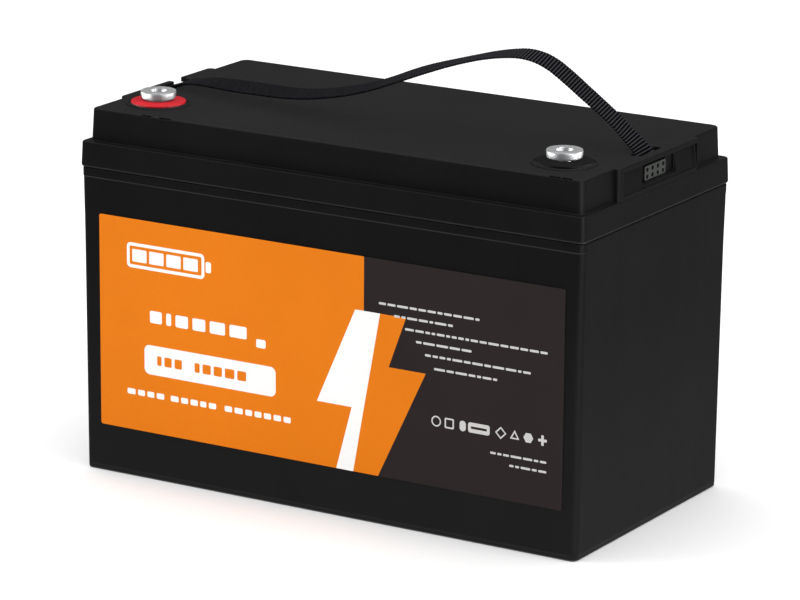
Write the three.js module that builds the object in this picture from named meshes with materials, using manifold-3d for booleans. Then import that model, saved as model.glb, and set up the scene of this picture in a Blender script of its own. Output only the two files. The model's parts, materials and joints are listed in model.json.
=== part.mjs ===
// Deep cycle battery, 12 V 100 Ah class, lithium iron phosphate.
// Millimetres, +Z up, origin at the centre of the underside.
// +X is the negative-terminal end, -Y is the labelled face.

import * as THREE from 'three';
import { mergeVertices } from 'three/addons/utils/BufferGeometryUtils.js';
import Module from 'manifold-3d';

const wasm = await Module();
wasm.setup();

// ---------------------------------------------------------------- driving dimensions
const LENGTH = 330;            // over the lid's flange, X
const WIDTH = 172;             // over the lid's flange, Y
const LID_TOP = 214;           // height to the lid's flat top
const GAP = 0.3;               // clearance between neighbouring pieces

// container
const TUB_TOP = [164.2, 85.2];     // outer half sizes at the shoulder
const TUB_BOTTOM = [163.06, 84.36];
const FOOT_INSET = 0.9;
const FOOT_HEIGHT = 4.8;
const SHOULDER_Z = 180;
const RIM = [162.3, 83.3];         // tongue that enters the lid
const RIM_Z = 190;
const TUB_INNER_TOP = [160.4, 81.4];
const TUB_INNER_BOTTOM = [159.9, 81.2];
const FLOOR = 4;
const CORNER_R = 4.5;

// lid
const FLANGE_BOTTOM = 180.3;
const FLANGE_TOP = 195.3;
const BLOCK_BASE = [161.3, 81.0];
const BLOCK_TOP = [160.6, 80.3];
const LID_WALL = 3.2;
const BOSS_X = 164;                // outer face of an end boss
const BOSS_Y = 44.5;
const RECESS = { x: 162.3, y0: -38.5, y1: 41.5, z0: 197, z1: 211 };
const POCKET = { x: 149.9, y0: -18, y1: 20, z0: 199.9, z1: 210.7 };
const SLOT = { x0: 149.0, x1: 160.2, y0: -14.8, y1: 15.2 };
const NOTCH = { y0: 4.2, y1: 17.6, z: 210.4 };      // in the lip of the left end only

// terminals
const POSITIVE = [-135.4, -48.5];
const NEGATIVE = [131.5, -48.5];
const HEAD_R = 10.5;
const HEAD_Z = [216.6, 221.7];
const BORE_R = 4.0;                // M8 thread
const BORE_FLOOR = 204;
const POST_R = 6.7;
const COLLAR_R = 16.4;
const SPIGOT_R = 14.5;             // collar's lower part, seated in the lid

// carrying strap: 25 mm webbing
const STRAP_W = 24.5;
const STRAP_T = 1.5;
// stations along the webbing's middle: x, y, z and the direction across the webbing
const STRAP_PATH = [
  [155.3, -0.2, 208.9, 0.000, 1.000, 0.000],
  [155.0, -0.4, 212.2, -0.100, 0.994, 0.040],
  [153.4, -0.6, 214.6, -0.190, 0.980, 0.050],
  [146.8, -2.0, 221.7, -0.264, 0.964, 0.035],
  [139.2, -4.3, 229.8, -0.273, 0.962, 0.012],
  [130.5, -6.8, 237.6, -0.270, 0.963, 0.014],
  [121.7, -9.4, 245.1, -0.267, 0.963, 0.026],
  [113.0, -12.1, 252.7, -0.272, 0.962, 0.036],
  [103.8, -15.0, 259.7, -0.279, 0.960, 0.034],
  [98.8, -16.6, 262.3, -0.279, 0.960, 0.025],
  [93.3, -18.2, 263.9, -0.278, 0.960, 0.015],
  [87.6, -19.8, 264.5, -0.264, 0.964, 0.003],
  [81.8, -21.3, 264.1, -0.247, 0.969, -0.007],
  [70.4, -23.9, 262.2, -0.192, 0.981, -0.014],
  [59.1, -25.9, 259.2, -0.138, 0.990, -0.002],
  [47.8, -27.1, 255.7, -0.101, 0.994, 0.033],
  [36.6, -27.9, 251.9, -0.076, 0.993, 0.086],
  [25.4, -28.2, 247.8, -0.052, 0.990, 0.131],
  [14.4, -28.0, 243.4, -0.025, 0.989, 0.145],
  [3.4, -27.4, 238.9, 0.008, 0.990, 0.140],
  [-7.8, -26.6, 234.9, 0.044, 0.991, 0.129],
  [-19.1, -25.5, 231.5, 0.074, 0.990, 0.120],
  [-30.5, -24.1, 228.7, 0.101, 0.989, 0.108],
  [-42.1, -22.6, 226.2, 0.127, 0.988, 0.088],
  [-53.7, -20.8, 224.3, 0.149, 0.987, 0.063],
  [-65.3, -18.9, 223.0, 0.164, 0.986, 0.043],
  [-77.0, -16.8, 222.3, 0.175, 0.984, 0.039],
  [-88.7, -14.7, 221.7, 0.186, 0.982, 0.043],
  [-100.3, -12.4, 221.1, 0.193, 0.980, 0.039],
  [-112.0, -10.1, 220.7, 0.197, 0.980, 0.020],
  [-123.6, -7.7, 220.1, 0.197, 0.980, -0.001],
  [-135.2, -5.4, 219.0, 0.196, 0.981, -0.007],
  [-145.2, -3.4, 216.5, 0.180, 0.983, 0.016],
  [-150.0, -2.2, 215.2, 0.110, 0.993, 0.020],
  [-152.6, -1.4, 213.4, 0.060, 0.998, 0.010],
  [-154.0, -0.7, 211.4, 0.050, 0.998, 0.000],
  [-154.4, -0.5, 208.9, 0.000, 1.000, 0.000],
];
const LOOP_X = [-117, 139];        // where the free loop meets the two tails
const ANCHOR = { x0: 151.2, x1: 162, y: 12.25, z0: 200.2, z1: 208.6 };

// label sticker on the front face
const LABEL = { x0: -151.6, x1: 154.2, z0: 28.6, z1: 154.2, t: 0.4 };

// cell pack
const CELL = [49.6, 160, 118.5];
const CELL_PITCH = 51;
const CELL_Z = 7.6;
const SHEET_T = 0.8;
const STUD_Y = 55;
const STUD_R = 2.9;
const PAD_T = 2;
const BUSBAR_T = 2;

// ---------------------------------------------------------------- helpers
const group = new THREE.Group();

function finish(name, geometry, colour, roughness, metalness) {
  const g = geometry.index ? geometry.toNonIndexed() : geometry;
  g.deleteAttribute('uv');
  g.computeVertexNormals();
  const mesh = new THREE.Mesh(g, new THREE.MeshStandardMaterial({ color: colour, roughness, metalness }));
  mesh.name = name;
  group.add(mesh);
  return mesh;
}

function toSolid(geometry) {
  const g = geometry.clone();
  for (const key of Object.keys(g.attributes)) if (key !== 'position') g.deleteAttribute(key);
  const m = mergeVertices(g, 1e-4);
  return new wasm.Manifold(new wasm.Mesh({
    numProp: 3,
    vertProperties: new Float32Array(m.attributes.position.array),
    triVerts: new Uint32Array(m.index.array),
  }));
}

function toGeometry(solid) {
  const mesh = solid.getMesh();
  const g = new THREE.BufferGeometry();
  const stride = mesh.numProp;
  const n = mesh.vertProperties.length / stride;
  const pos = new Float32Array(n * 3);
  for (let i = 0; i < n; i++) for (let k = 0; k < 3; k++) pos[i * 3 + k] = mesh.vertProperties[i * stride + k];
  g.setAttribute('position', new THREE.BufferAttribute(pos, 3));
  g.setIndex(new THREE.BufferAttribute(new Uint32Array(mesh.triVerts), 1));
  return g;
}

function signedVolume(pos, idx) {
  let v = 0;
  const a = new THREE.Vector3(), b = new THREE.Vector3(), c = new THREE.Vector3();
  for (let i = 0; i < idx.length; i += 3) {
    a.fromArray(pos, idx[i] * 3); b.fromArray(pos, idx[i + 1] * 3); c.fromArray(pos, idx[i + 2] * 3);
    v += a.dot(b.cross(c));
  }
  return v / 6;
}

// closed body through a list of rings with equal point counts, capped at both ends
function loft(rings) {
  const n = rings[0].length;
  const pos = rings.flat(2);
  const idx = [];
  for (let r = 0; r + 1 < rings.length; r++) {
    for (let i = 0; i < n; i++) {
      const j = (i + 1) % n;
      const a = r * n + i, b = r * n + j, c = (r + 1) * n + j, d = (r + 1) * n + i;
      idx.push(a, b, c, a, c, d);
    }
  }
  const last = (rings.length - 1) * n;
  for (let i = 1; i + 1 < n; i++) {
    idx.push(0, i + 1, i);
    idx.push(last, last + i, last + i + 1);
  }
  if (signedVolume(pos, idx) < 0) for (let i = 0; i < idx.length; i += 3) [idx[i + 1], idx[i + 2]] = [idx[i + 2], idx[i + 1]];
  const g = new THREE.BufferGeometry();
  g.setAttribute('position', new THREE.Float32BufferAttribute(pos, 3));
  g.setIndex(idx);
  return g;
}

// rounded rectangle outline at height z, from a THREE.Shape
function outline(hx, hy, r, z, steps = 4, cx = 0, cy = 0) {
  const pts = [];
  const corners = [[1, 1, 0], [-1, 1, 90], [-1, -1, 180], [1, -1, 270]];
  for (const [sx, sy, start] of corners) {
    for (let i = 0; i <= steps; i++) {
      const a = THREE.MathUtils.degToRad(start + (90 * i) / steps);
      pts.push([cx + sx * (hx - r) + r * Math.cos(a), cy + sy * (hy - r) + r * Math.sin(a), z]);
    }
  }
  return pts;
}

function box(x0, x1, y0, y1, z0, z1) {
  const g = new THREE.BoxGeometry(x1 - x0, y1 - y0, z1 - z0);
  g.translate((x0 + x1) / 2, (y0 + y1) / 2, (z0 + z1) / 2);
  return g;
}

function cylinder(r, z0, z1, cx = 0, cy = 0, sides = 24) {
  const g = new THREE.CylinderGeometry(r, r, z1 - z0, sides);
  g.rotateX(Math.PI / 2);
  g.translate(cx, cy, (z0 + z1) / 2);
  return g;
}

// lathe about a vertical axis through (cx, cy); profile is [radius, z] pairs
function lathe(profile, cx, cy, sides = 24) {
  const g = new THREE.LatheGeometry(profile.map(([r, z]) => new THREE.Vector2(r, z)), sides);
  g.rotateX(Math.PI / 2);
  g.translate(cx, cy, 0);
  const m = toSolidOriented(g);
  return toGeometry(m);
}

function toSolidOriented(geometry) {
  const g = geometry.clone();
  for (const key of Object.keys(g.attributes)) if (key !== 'position') g.deleteAttribute(key);
  const m = mergeVertices(g, 1e-4);
  const raw = Array.from(m.index.array);
  const idx = [];
  for (let i = 0; i < raw.length; i += 3) {
    const [a, b, c] = raw.slice(i, i + 3);
    if (a !== b && b !== c && a !== c) idx.push(a, b, c);
  }
  const pos = Array.from(m.attributes.position.array);
  if (signedVolume(pos, idx) < 0) for (let i = 0; i < idx.length; i += 3) [idx[i + 1], idx[i + 2]] = [idx[i + 2], idx[i + 1]];
  const out = new THREE.BufferGeometry();
  out.setAttribute('position', new THREE.Float32BufferAttribute(pos, 3));
  out.setIndex(idx);
  return toSolid(out);
}

function hexNut(across, hole, z0, z1, cx, cy) {
  const body = toSolid(cylinder(across / Math.sqrt(3), z0, z1, cx, cy, 6));
  return toGeometry(body.subtract(toSolid(cylinder(hole, z0 - 1, z1 + 1, cx, cy, 16))));
}

const SIDES = [[-1, 'left'], [1, 'right']];
function sideBox(s, x0, x1, y0, y1, z0, z1) {
  return s > 0 ? box(x0, x1, y0, y1, z0, z1) : box(-x1, -x0, y0, y1, z0, z1);
}

// ---------------------------------------------------------------- container
const BLACK = 0x1f1f20;
finish('container', loft([
  outline(TUB_BOTTOM[0] - FOOT_INSET - 0.9, TUB_BOTTOM[1] - FOOT_INSET - 0.9, CORNER_R - 1, 0),
  outline(TUB_BOTTOM[0] - FOOT_INSET, TUB_BOTTOM[1] - FOOT_INSET, CORNER_R - 0.5, 1.1),
  outline(TUB_BOTTOM[0] - FOOT_INSET, TUB_BOTTOM[1] - FOOT_INSET, CORNER_R - 0.5, FOOT_HEIGHT - 0.6),
  outline(TUB_BOTTOM[0], TUB_BOTTOM[1], CORNER_R, FOOT_HEIGHT + 0.4),
  outline(TUB_TOP[0], TUB_TOP[1], CORNER_R, SHOULDER_Z),
  outline(RIM[0], RIM[1], CORNER_R - 1.5, SHOULDER_Z),
  outline(RIM[0], RIM[1], CORNER_R - 1.5, RIM_Z),
  outline(TUB_INNER_TOP[0], TUB_INNER_TOP[1], 1.6, RIM_Z),
  outline(TUB_INNER_BOTTOM[0], TUB_INNER_BOTTOM[1], 1.6, FLOOR),
]), BLACK, 0.5, 0);

// ---------------------------------------------------------------- lid
let lid = toSolid(loft([
  outline(LENGTH / 2 - 1, WIDTH / 2 - 1, CORNER_R - 0.6, FLANGE_BOTTOM),
  outline(LENGTH / 2, WIDTH / 2, CORNER_R, FLANGE_BOTTOM + 2),
  outline(LENGTH / 2 - 0.4, WIDTH / 2 - 0.4, CORNER_R, FLANGE_TOP - 0.4),
  outline(LENGTH / 2 - 0.8, WIDTH / 2 - 0.8, CORNER_R, FLANGE_TOP),
  outline(BLOCK_BASE[0], BLOCK_BASE[1], CORNER_R, FLANGE_TOP),
  outline(BLOCK_TOP[0], BLOCK_TOP[1], CORNER_R, LID_TOP - 1),
  outline(BLOCK_TOP[0] - 1, BLOCK_TOP[1] - 1, CORNER_R - 1, LID_TOP),
]));
for (const [s] of SIDES) {
  const x0 = 150, x1 = BOSS_X, cx = s * (x0 + x1) / 2, hx = (x1 - x0) / 2;
  lid = lid.add(toSolid(loft([
    outline(hx, BOSS_Y, 3.5, FLANGE_TOP - 1.5, 4, cx, 0),
    outline(hx, BOSS_Y, 3.5, LID_TOP - 1, 4, cx, 0),
    outline(hx - 1, BOSS_Y - 1, 2.9, LID_TOP, 4, cx, 0),
  ])));
}
// hollow underside: the skirt's socket over the rim, then the lid's cavity
lid = lid.subtract(toSolid(loft([
  outline(RIM[0] + GAP, RIM[1] + GAP, CORNER_R - 1.2, FLANGE_BOTTOM - 2),
  outline(RIM[0] + GAP, RIM[1] + GAP, CORNER_R - 1.2, RIM_Z + 2.3),
])));
lid = lid.subtract(toSolid(loft([
  outline(BLOCK_BASE[0] - LID_WALL, BLOCK_BASE[1] - LID_WALL, 2, RIM_Z - 2),
  outline(BLOCK_TOP[0] - LID_WALL, BLOCK_TOP[1] - LID_WALL, 2, LID_TOP - 3.5),
])));
for (const [s] of SIDES) {
  // solid block behind each end that carries the anchor pocket
  lid = lid.add(toSolid(sideBox(s, 146.5, 159, -21.5, 23.5, 196.8, LID_TOP - 3)));
  lid = lid.subtract(toSolid(sideBox(s, RECESS.x, 170, RECESS.y0, RECESS.y1, RECESS.z0, RECESS.z1)));
  lid = lid.subtract(toSolid(sideBox(s, POCKET.x, 170, POCKET.y0, POCKET.y1, POCKET.z0, POCKET.z1)));
  lid = lid.subtract(toSolid(sideBox(s, SLOT.x0, SLOT.x1, SLOT.y0, SLOT.y1, POCKET.z1 - 1, LID_TOP + 2)));
}
lid = lid.subtract(toSolid(box(-170, -(SLOT.x1 - 1), NOTCH.y0, NOTCH.y1, NOTCH.z, LID_TOP + 2)));
for (const [x, y] of [POSITIVE, NEGATIVE]) {
  lid = lid.subtract(toSolid(cylinder(SPIGOT_R + GAP, LID_TOP - 8, LID_TOP + 3, x, y)));
}
finish('lid', toGeometry(lid), BLACK, 0.5, 0);

// bead of adhesive between the rim and the lid
finish('lid_seal', toGeometry(toSolid(loft([
  outline(RIM[0], RIM[1], CORNER_R - 1.5, RIM_Z + GAP),
  outline(RIM[0], RIM[1], CORNER_R - 1.5, RIM_Z + 2),
])).subtract(toSolid(loft([
  outline(TUB_INNER_TOP[0], TUB_INNER_TOP[1], 1.6, RIM_Z - 1),
  outline(TUB_INNER_TOP[0], TUB_INNER_TOP[1], 1.6, RIM_Z + 3),
])))), 0x4a4a48, 0.7, 0);

// ---------------------------------------------------------------- front label, lying along the drafted face
{
  const slope = (TUB_TOP[1] - TUB_BOTTOM[1]) / (SHOULDER_Z - FOOT_HEIGHT - 0.4);
  const faceY = (z) => -(TUB_BOTTOM[1] + slope * (z - FOOT_HEIGHT - 0.4)) - 0.05;
  const ring = (x) => [
    [x, faceY(LABEL.z0), LABEL.z0], [x, faceY(LABEL.z0) - LABEL.t, LABEL.z0],
    [x, faceY(LABEL.z1) - LABEL.t, LABEL.z1], [x, faceY(LABEL.z1), LABEL.z1],
  ];
  finish('front_label', loft([ring(LABEL.x0), ring(LABEL.x1)]), 0xec8318, 0.45, 0);
}

// ---------------------------------------------------------------- terminals
for (const [name, [x, y], colour] of [['positive', POSITIVE, 0xd0202c], ['negative', NEGATIVE, 0x18181a]]) {
  finish(`terminal_post_${name}`, lathe([
    [0, 196.5], [POST_R, 196.5], [POST_R, HEAD_Z[0]], [HEAD_R - 0.7, HEAD_Z[0]], [HEAD_R, HEAD_Z[0] + 0.7],
    [HEAD_R, HEAD_Z[1] - 0.8], [HEAD_R - 0.8, HEAD_Z[1]], [BORE_R + 1.2, HEAD_Z[1]], [BORE_R, HEAD_Z[1] - 1.2],
    [BORE_R, BORE_FLOOR], [0, BORE_FLOOR],
  ], x, y), 0xc9ccce, 0.25, 1);
  finish(`terminal_collar_${name}`, lathe([
    [POST_R + GAP, 210.6], [SPIGOT_R, 210.6], [SPIGOT_R, LID_TOP + GAP], [COLLAR_R, LID_TOP + GAP], [COLLAR_R, LID_TOP + 1.2],
    [11.2, HEAD_Z[0] - GAP], [POST_R + GAP, HEAD_Z[0] - GAP], [POST_R + GAP, 210.6],
  ], x, y), colour, 0.4, 0);
  finish(`terminal_oring_${name}`, lathe([
    [POST_R + GAP, 208.2], [9.4, 208.2], [9.4, 210.2], [POST_R + GAP, 210.2], [POST_R + GAP, 208.2],
  ], x, y, 20), 0x111111, 0.8, 0);
  finish(`terminal_nut_${name}`, hexNut(22, POST_R + GAP, 197.5, 204.2, x, y), 0xb8bbbd, 0.3, 1);
}

// ---------------------------------------------------------------- carrying strap
{
  const middle = STRAP_PATH.map((p) => new THREE.Vector3(p[0], p[1], p[2]));
  const rings = STRAP_PATH.map((p, i) => {
    const a = middle[Math.max(0, i - 1)], b = middle[Math.min(middle.length - 1, i + 1)];
    const along = new THREE.Vector3().subVectors(b, a).normalize();
    if (i === 0) along.set(0, 0, 1);
    if (i === STRAP_PATH.length - 1) along.set(0, 0, -1);
    const across = new THREE.Vector3(p[3], p[4], p[5]).normalize();
    across.addScaledVector(along, -across.dot(along)).normalize();
    const up = new THREE.Vector3().crossVectors(along, across).normalize();
    const at = (u, v) => middle[i].clone().addScaledVector(across, u * STRAP_W / 2).addScaledVector(up, v * STRAP_T / 2).toArray();
    return [at(-1, -1), at(1, -1), at(1, 1), at(-1, 1)];
  });
  const whole = toSolid(loft(rings));
  const cut = (x0, x1) => toGeometry(whole.intersect(toSolid(box(x0, x1, -60, 60, 150, 300))));
  finish('strap_loop', cut(LOOP_X[0], LOOP_X[1]), 0x1f1e21, 0.8, 0);
  finish('strap_tail_left', cut(-175, LOOP_X[0] - 0.5), 0x1f1e21, 0.8, 0);
  finish('strap_tail_right', cut(LOOP_X[1] + 0.5, 175), 0x1f1e21, 0.8, 0);
}
for (const [s, side] of SIDES) {
  let block = toSolid(sideBox(s, ANCHOR.x0, ANCHOR.x1, -ANCHOR.y, ANCHOR.y, ANCHOR.z0, ANCHOR.z1));
  for (const z of [202.4, 206.2]) {
    for (const y of [-9.3, -3.1, 3.1, 9.3]) {
      block = block.subtract(toSolid(sideBox(s, ANCHOR.x1 - 2.5, ANCHOR.x1 + 1, y - 0.75, y + 0.75, z - 0.7, z + 0.7)));
    }
  }
  finish(`strap_anchor_${side}`, toGeometry(block), 0x9aa29a, 0.55, 0);
}

// ---------------------------------------------------------------- cell pack
const cellTop = CELL_Z + CELL[2];
const cellX = [0, 1, 2, 3].map((i) => (i - 1.5) * CELL_PITCH);
cellX.forEach((x, i) => {
  let cell = toSolid(box(x - CELL[0] / 2, x + CELL[0] / 2, -CELL[1] / 2, CELL[1] / 2, CELL_Z, cellTop));
  for (const y of [-STUD_Y, STUD_Y]) {
    cell = cell.add(toSolid(cylinder(9, cellTop - 1, cellTop + PAD_T, x, y, 20)));
    cell = cell.add(toSolid(cylinder(STUD_R, cellTop, cellTop + 10.5, x, y, 12)));
  }
  finish(`cell_${i + 1}`, toGeometry(cell), 0x2c5fa8, 0.45, 0.1);
});
for (let i = 0; i < 3; i++) {
  const x = (cellX[i] + cellX[i + 1]) / 2;
  finish(`cell_sheet_${i + 1}`, box(x - SHEET_T / 2, x + SHEET_T / 2, -78, 78, CELL_Z, cellTop - 2), 0xc9a86a, 0.6, 0);
}
const packX = cellX[3] + CELL[0] / 2;
for (const [s, side] of SIDES) {
  finish(`end_plate_${side}`, sideBox(s, packX + GAP, packX + GAP + 3.5, -79.5, 79.5, CELL_Z, cellTop - 6), 0xa9adb0, 0.4, 1);
}
[['lower', 30, 45], ['upper', 88, 103]].forEach(([name, z0, z1]) => {
  const x = packX + GAP + 3.5 + GAP, y = CELL[1] / 2 + GAP;
  const outer = toSolid(box(-x - 0.5, x + 0.5, -y - 0.5, y + 0.5, z0, z1));
  finish(`pack_band_${name}`, toGeometry(outer.subtract(toSolid(box(-x, x, -y, y, z0 - 1, z1 + 1)))), 0x8f9396, 0.35, 1);
});
finish('base_pad', box(-155, 155, -78, 78, FLOOR + GAP, CELL_Z - GAP), 0x2b2b2d, 0.95, 0);
for (const [s, side] of SIDES) {
  finish(`foam_block_${side}`, sideBox(s, packX + 5.2, 159.2, -78, 78, CELL_Z, 122), 0x3a3a3c, 0.95, 0);
}

// series links and nuts
const linkZ = cellTop + PAD_T + GAP;
[[0, 1], [1, -1], [2, 1]].forEach(([i, side]) => {
  const y = side * STUD_Y;
  let bar = toSolid(box(cellX[i] - 10, cellX[i + 1] + 10, y - 10, y + 10, linkZ, linkZ + BUSBAR_T));
  for (const x of [cellX[i], cellX[i + 1]]) bar = bar.subtract(toSolid(cylinder(STUD_R + 0.4, linkZ - 1, linkZ + BUSBAR_T + 1, x, y, 12)));
  finish(`busbar_${i + 1}`, toGeometry(bar), 0xb87333, 0.3, 1);
});
cellX.forEach((x, i) => {
  for (const [y, end] of [[-STUD_Y, 'front'], [STUD_Y, 'rear']]) {
    finish(`cell_nut_${i + 1}_${end}`, hexNut(10, STUD_R + 0.4, linkZ + BUSBAR_T + GAP, linkZ + BUSBAR_T + GAP + 4.5, x, y), 0xb8bbbd, 0.3, 1);
  }
});

// ---------------------------------------------------------------- battery management board on its carrier
const carrierZ = 138.5;
[[-76.5, -25], [-76.5, 25], [76.5, -25], [76.5, 25]].forEach(([x, y], i) => {
  finish(`board_standoff_${i + 1}`, cylinder(4, cellTop + GAP, carrierZ - GAP, x, y, 12), 0xd8d6cc, 0.6, 0);
});
finish('carrier_board', box(-96, 96, -42, 66, carrierZ, carrierZ + 2), 0x4f7f4f, 0.6, 0);
finish('bms_heatsink', box(-75, 75, -38, 45, carrierZ + 2.3, carrierZ + 6.3), 0xa9adb0, 0.4, 1);
const boardZ = carrierZ + 6.6;
finish('bms_board', box(-78, 78, -40, 47, boardZ, boardZ + 1.6), 0x12503a, 0.5, 0);
finish('bms_transistors', box(-50, 40, 24, 40, boardZ + 1.9, boardZ + 6.4), 0x1b1b1d, 0.5, 0);
finish('bms_connector', box(-14, 14, -38, -31, boardZ + 1.9, boardZ + 9), 0xeeeadc, 0.5, 0);
finish('temperature_probe', box(-31, -20, 8, 13, cellTop + GAP, cellTop + 3.2), 0x222222, 0.6, 0);

// ---------------------------------------------------------------- output leads: cable with a crimped ring lug at each end
function lug(x, y, z, dir, hole, ringR, lift) {
  // ring lies flat at height z; its barrel runs off in +dir or -dir along X
  let s = toSolid(cylinder(ringR, z, z + 2, x, y, 20));
  const near = ringR * 0.6, far = ringR + 18;
  s = s.add(toSolid(box(Math.min(x + dir * near, x + dir * (ringR + 4)), Math.max(x + dir * near, x + dir * (ringR + 4)), y - 4.5, y + 4.5, z, z + 2)));
  const barrel = new THREE.CylinderGeometry(5, 5, far - ringR - 2, 12);
  barrel.rotateZ(Math.PI / 2);
  barrel.translate(x + dir * (far + ringR + 2) / 2, y, z + lift);
  s = s.add(toSolid(barrel));
  return s.subtract(toSolid(cylinder(hole, z - 1, z + 3, x, y, 16)));
}
function cable(points) {
  const curve = new THREE.CatmullRomCurve3(points.map((p) => new THREE.Vector3(...p)), false, 'centripetal');
  const section = new THREE.Shape();
  for (let i = 0; i < 8; i++) {
    const a = (i / 8) * Math.PI * 2;
    if (i === 0) section.moveTo(4 * Math.cos(a), 4 * Math.sin(a)); else section.lineTo(4 * Math.cos(a), 4 * Math.sin(a));
  }
  section.closePath();
  return toSolidOriented(new THREE.ExtrudeGeometry(section, { steps: 26, extrudePath: curve, bevelEnabled: false }));
}
const lugZ = 204.5;
function lead(name, a, b, mids, colour) {
  // a and b: [x, y, z, dir, hole, ring radius]
  const mouth = (e) => [e[0] + e[3] * (e[5] + 14), e[1], e[2] + e[6]];
  const out = (e) => [e[0] + e[3] * (e[5] + 24), e[1], e[2] + e[6]];
  const solid = lug(...a).add(lug(...b)).add(cable([mouth(a), out(a), ...mids, out(b), mouth(b)]));
  finish(name, toGeometry(solid), colour, 0.5, 0);
}
lead('lead_positive',
  [cellX[0], -STUD_Y, linkZ, -1, STUD_R + 0.4, 9, 4.6],
  [POSITIVE[0], POSITIVE[1], lugZ, 1, POST_R + GAP, 11, -1.5],
  [[-121, -55, 140], [-118, -53, 160], [-103, -51, 176], [-90, -49, 192]], 0xb01818);
lead('lead_cell_negative',
  [cellX[3], -STUD_Y, linkZ, 1, STUD_R + 0.4, 9, 4.6],
  [64, -28, boardZ + 1.9, 1, STUD_R + 0.4, 7, 5.4],
  [[122, -54, 138], [122, -46, 152]], 0x141416);
lead('lead_board_negative',
  [64, 8, boardZ + 1.9, 1, STUD_R + 0.4, 7, 5.4],
  [NEGATIVE[0], NEGATIVE[1], lugZ, -1, POST_R + GAP, 11, -1.5],
  [[108, 4, 156], [106, -14, 172], [92, -34, 190]], 0x141416);

export default group;
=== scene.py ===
"""Deep cycle battery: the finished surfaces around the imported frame. Metres, +Z up."""

import json
import math
import random

import bmesh
import bpy
import numpy as np
from mathutils import Matrix, Vector
from mathutils.geometry import delaunay_2d_cdt

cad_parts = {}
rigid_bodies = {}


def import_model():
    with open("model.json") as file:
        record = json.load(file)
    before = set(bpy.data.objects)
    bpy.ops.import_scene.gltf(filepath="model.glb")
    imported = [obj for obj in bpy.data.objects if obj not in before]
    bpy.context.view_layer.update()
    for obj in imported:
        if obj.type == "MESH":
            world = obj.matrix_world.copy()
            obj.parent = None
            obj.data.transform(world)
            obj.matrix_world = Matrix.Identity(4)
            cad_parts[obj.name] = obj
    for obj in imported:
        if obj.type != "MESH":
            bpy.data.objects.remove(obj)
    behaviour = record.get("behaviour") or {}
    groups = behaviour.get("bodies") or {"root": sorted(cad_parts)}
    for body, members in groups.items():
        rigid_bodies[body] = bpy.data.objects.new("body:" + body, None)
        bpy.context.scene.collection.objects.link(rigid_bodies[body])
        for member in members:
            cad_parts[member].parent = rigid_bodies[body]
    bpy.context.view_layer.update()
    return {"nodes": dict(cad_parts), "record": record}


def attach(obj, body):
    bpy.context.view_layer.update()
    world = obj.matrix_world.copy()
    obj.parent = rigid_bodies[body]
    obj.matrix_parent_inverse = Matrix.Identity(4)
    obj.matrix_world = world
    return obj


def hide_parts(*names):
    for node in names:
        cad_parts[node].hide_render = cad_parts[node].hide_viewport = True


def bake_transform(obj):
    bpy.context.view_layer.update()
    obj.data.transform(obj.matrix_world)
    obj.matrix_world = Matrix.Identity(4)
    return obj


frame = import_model()
nodes = frame["nodes"]
MM = 0.001
random.seed(7)

scene = bpy.context.scene
scene.view_settings.view_transform = "Standard"
scene.view_settings.look = "None"

# ------------------------------------------------------------------ camera
AZ, EL, ROLL = math.radians(31.042), math.radians(15.192), math.radians(0.58)
back = Vector((math.sin(AZ) * math.cos(EL), -math.cos(AZ) * math.cos(EL), math.sin(EL)))
right = Vector((math.cos(AZ), math.sin(AZ), 0.0))
up = back.cross(right)
r2 = right * math.cos(ROLL) + up * math.sin(ROLL)
u2 = -right * math.sin(ROLL) + up * math.cos(ROLL)
eye = Vector((0, 0, 107)) - 1.188 * r2 - 1.083 * u2 + 2586.458 * back
eye *= MM
cam_data = bpy.data.cameras.new("camera")
cam_data.sensor_width = 36.0
cam_data.lens = 4501.257 / 800.0 * 36.0
cam_data.clip_start, cam_data.clip_end = 0.05, 60.0
camera = bpy.data.objects.new("camera", cam_data)
scene.collection.objects.link(camera)
camera.matrix_world = Matrix(
    (
        (r2.x, u2.x, back.x, eye.x),
        (r2.y, u2.y, back.y, eye.y),
        (r2.z, u2.z, back.z, eye.z),
        (0, 0, 0, 1),
    )
)
scene.camera = camera

# ------------------------------------------------------------------ dimensions, mm, as the frame has them
HALF_L, HALF_W, LID_TOP = 165.0, 86.0, 214.0
TUB_TOP, TUB_BOTTOM = (164.2, 85.2), (163.06, 84.36)
SHOULDER_Z, FOOT_H, CORNER_R = 180.0, 4.8, 4.5
RIM, RIM_Z = (162.3, 83.3), 190.0
TUB_INNER_TOP, TUB_INNER_BOTTOM, FLOOR_T = (160.4, 81.4), (159.9, 81.2), 4.0
FL_BOTTOM, FL_TOP = 180.3, 195.3
BLOCK_BASE, BLOCK_TOP, LID_WALL = (161.3, 81.0), (160.6, 80.3), 3.2
BOSS_X, BOSS_Y, BOSS_C, BOSS_R = 164.3, 46.575, 1.075, 2.6
POSITIVE, NEGATIVE = (-135.4, -48.5), (131.5, -48.5)
SLOPE = (TUB_TOP[1] - TUB_BOTTOM[1]) / (SHOULDER_Z - FOOT_H - 0.4)


def wall_x(z):
    return TUB_BOTTOM[0] + (TUB_TOP[0] - TUB_BOTTOM[0]) * (z - 5.2) / (SHOULDER_Z - 5.2)


def wall_y(z):
    return TUB_BOTTOM[1] + SLOPE * (z - 5.2)


# ------------------------------------------------------------------ mesh helpers
def add_object(name, mesh):
    obj = bpy.data.objects.new(name, mesh)
    scene.collection.objects.link(obj)
    return obj


def mesh_from(name, verts, faces, scale=MM):
    me = bpy.data.meshes.new(name)
    me.from_pydata([tuple(c * scale for c in v) for v in verts], [], faces)
    bm = bmesh.new()
    bm.from_mesh(me)
    bmesh.ops.recalc_face_normals(bm, faces=bm.faces)
    bm.to_mesh(me)
    bm.free()
    me.update()
    return me


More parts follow.
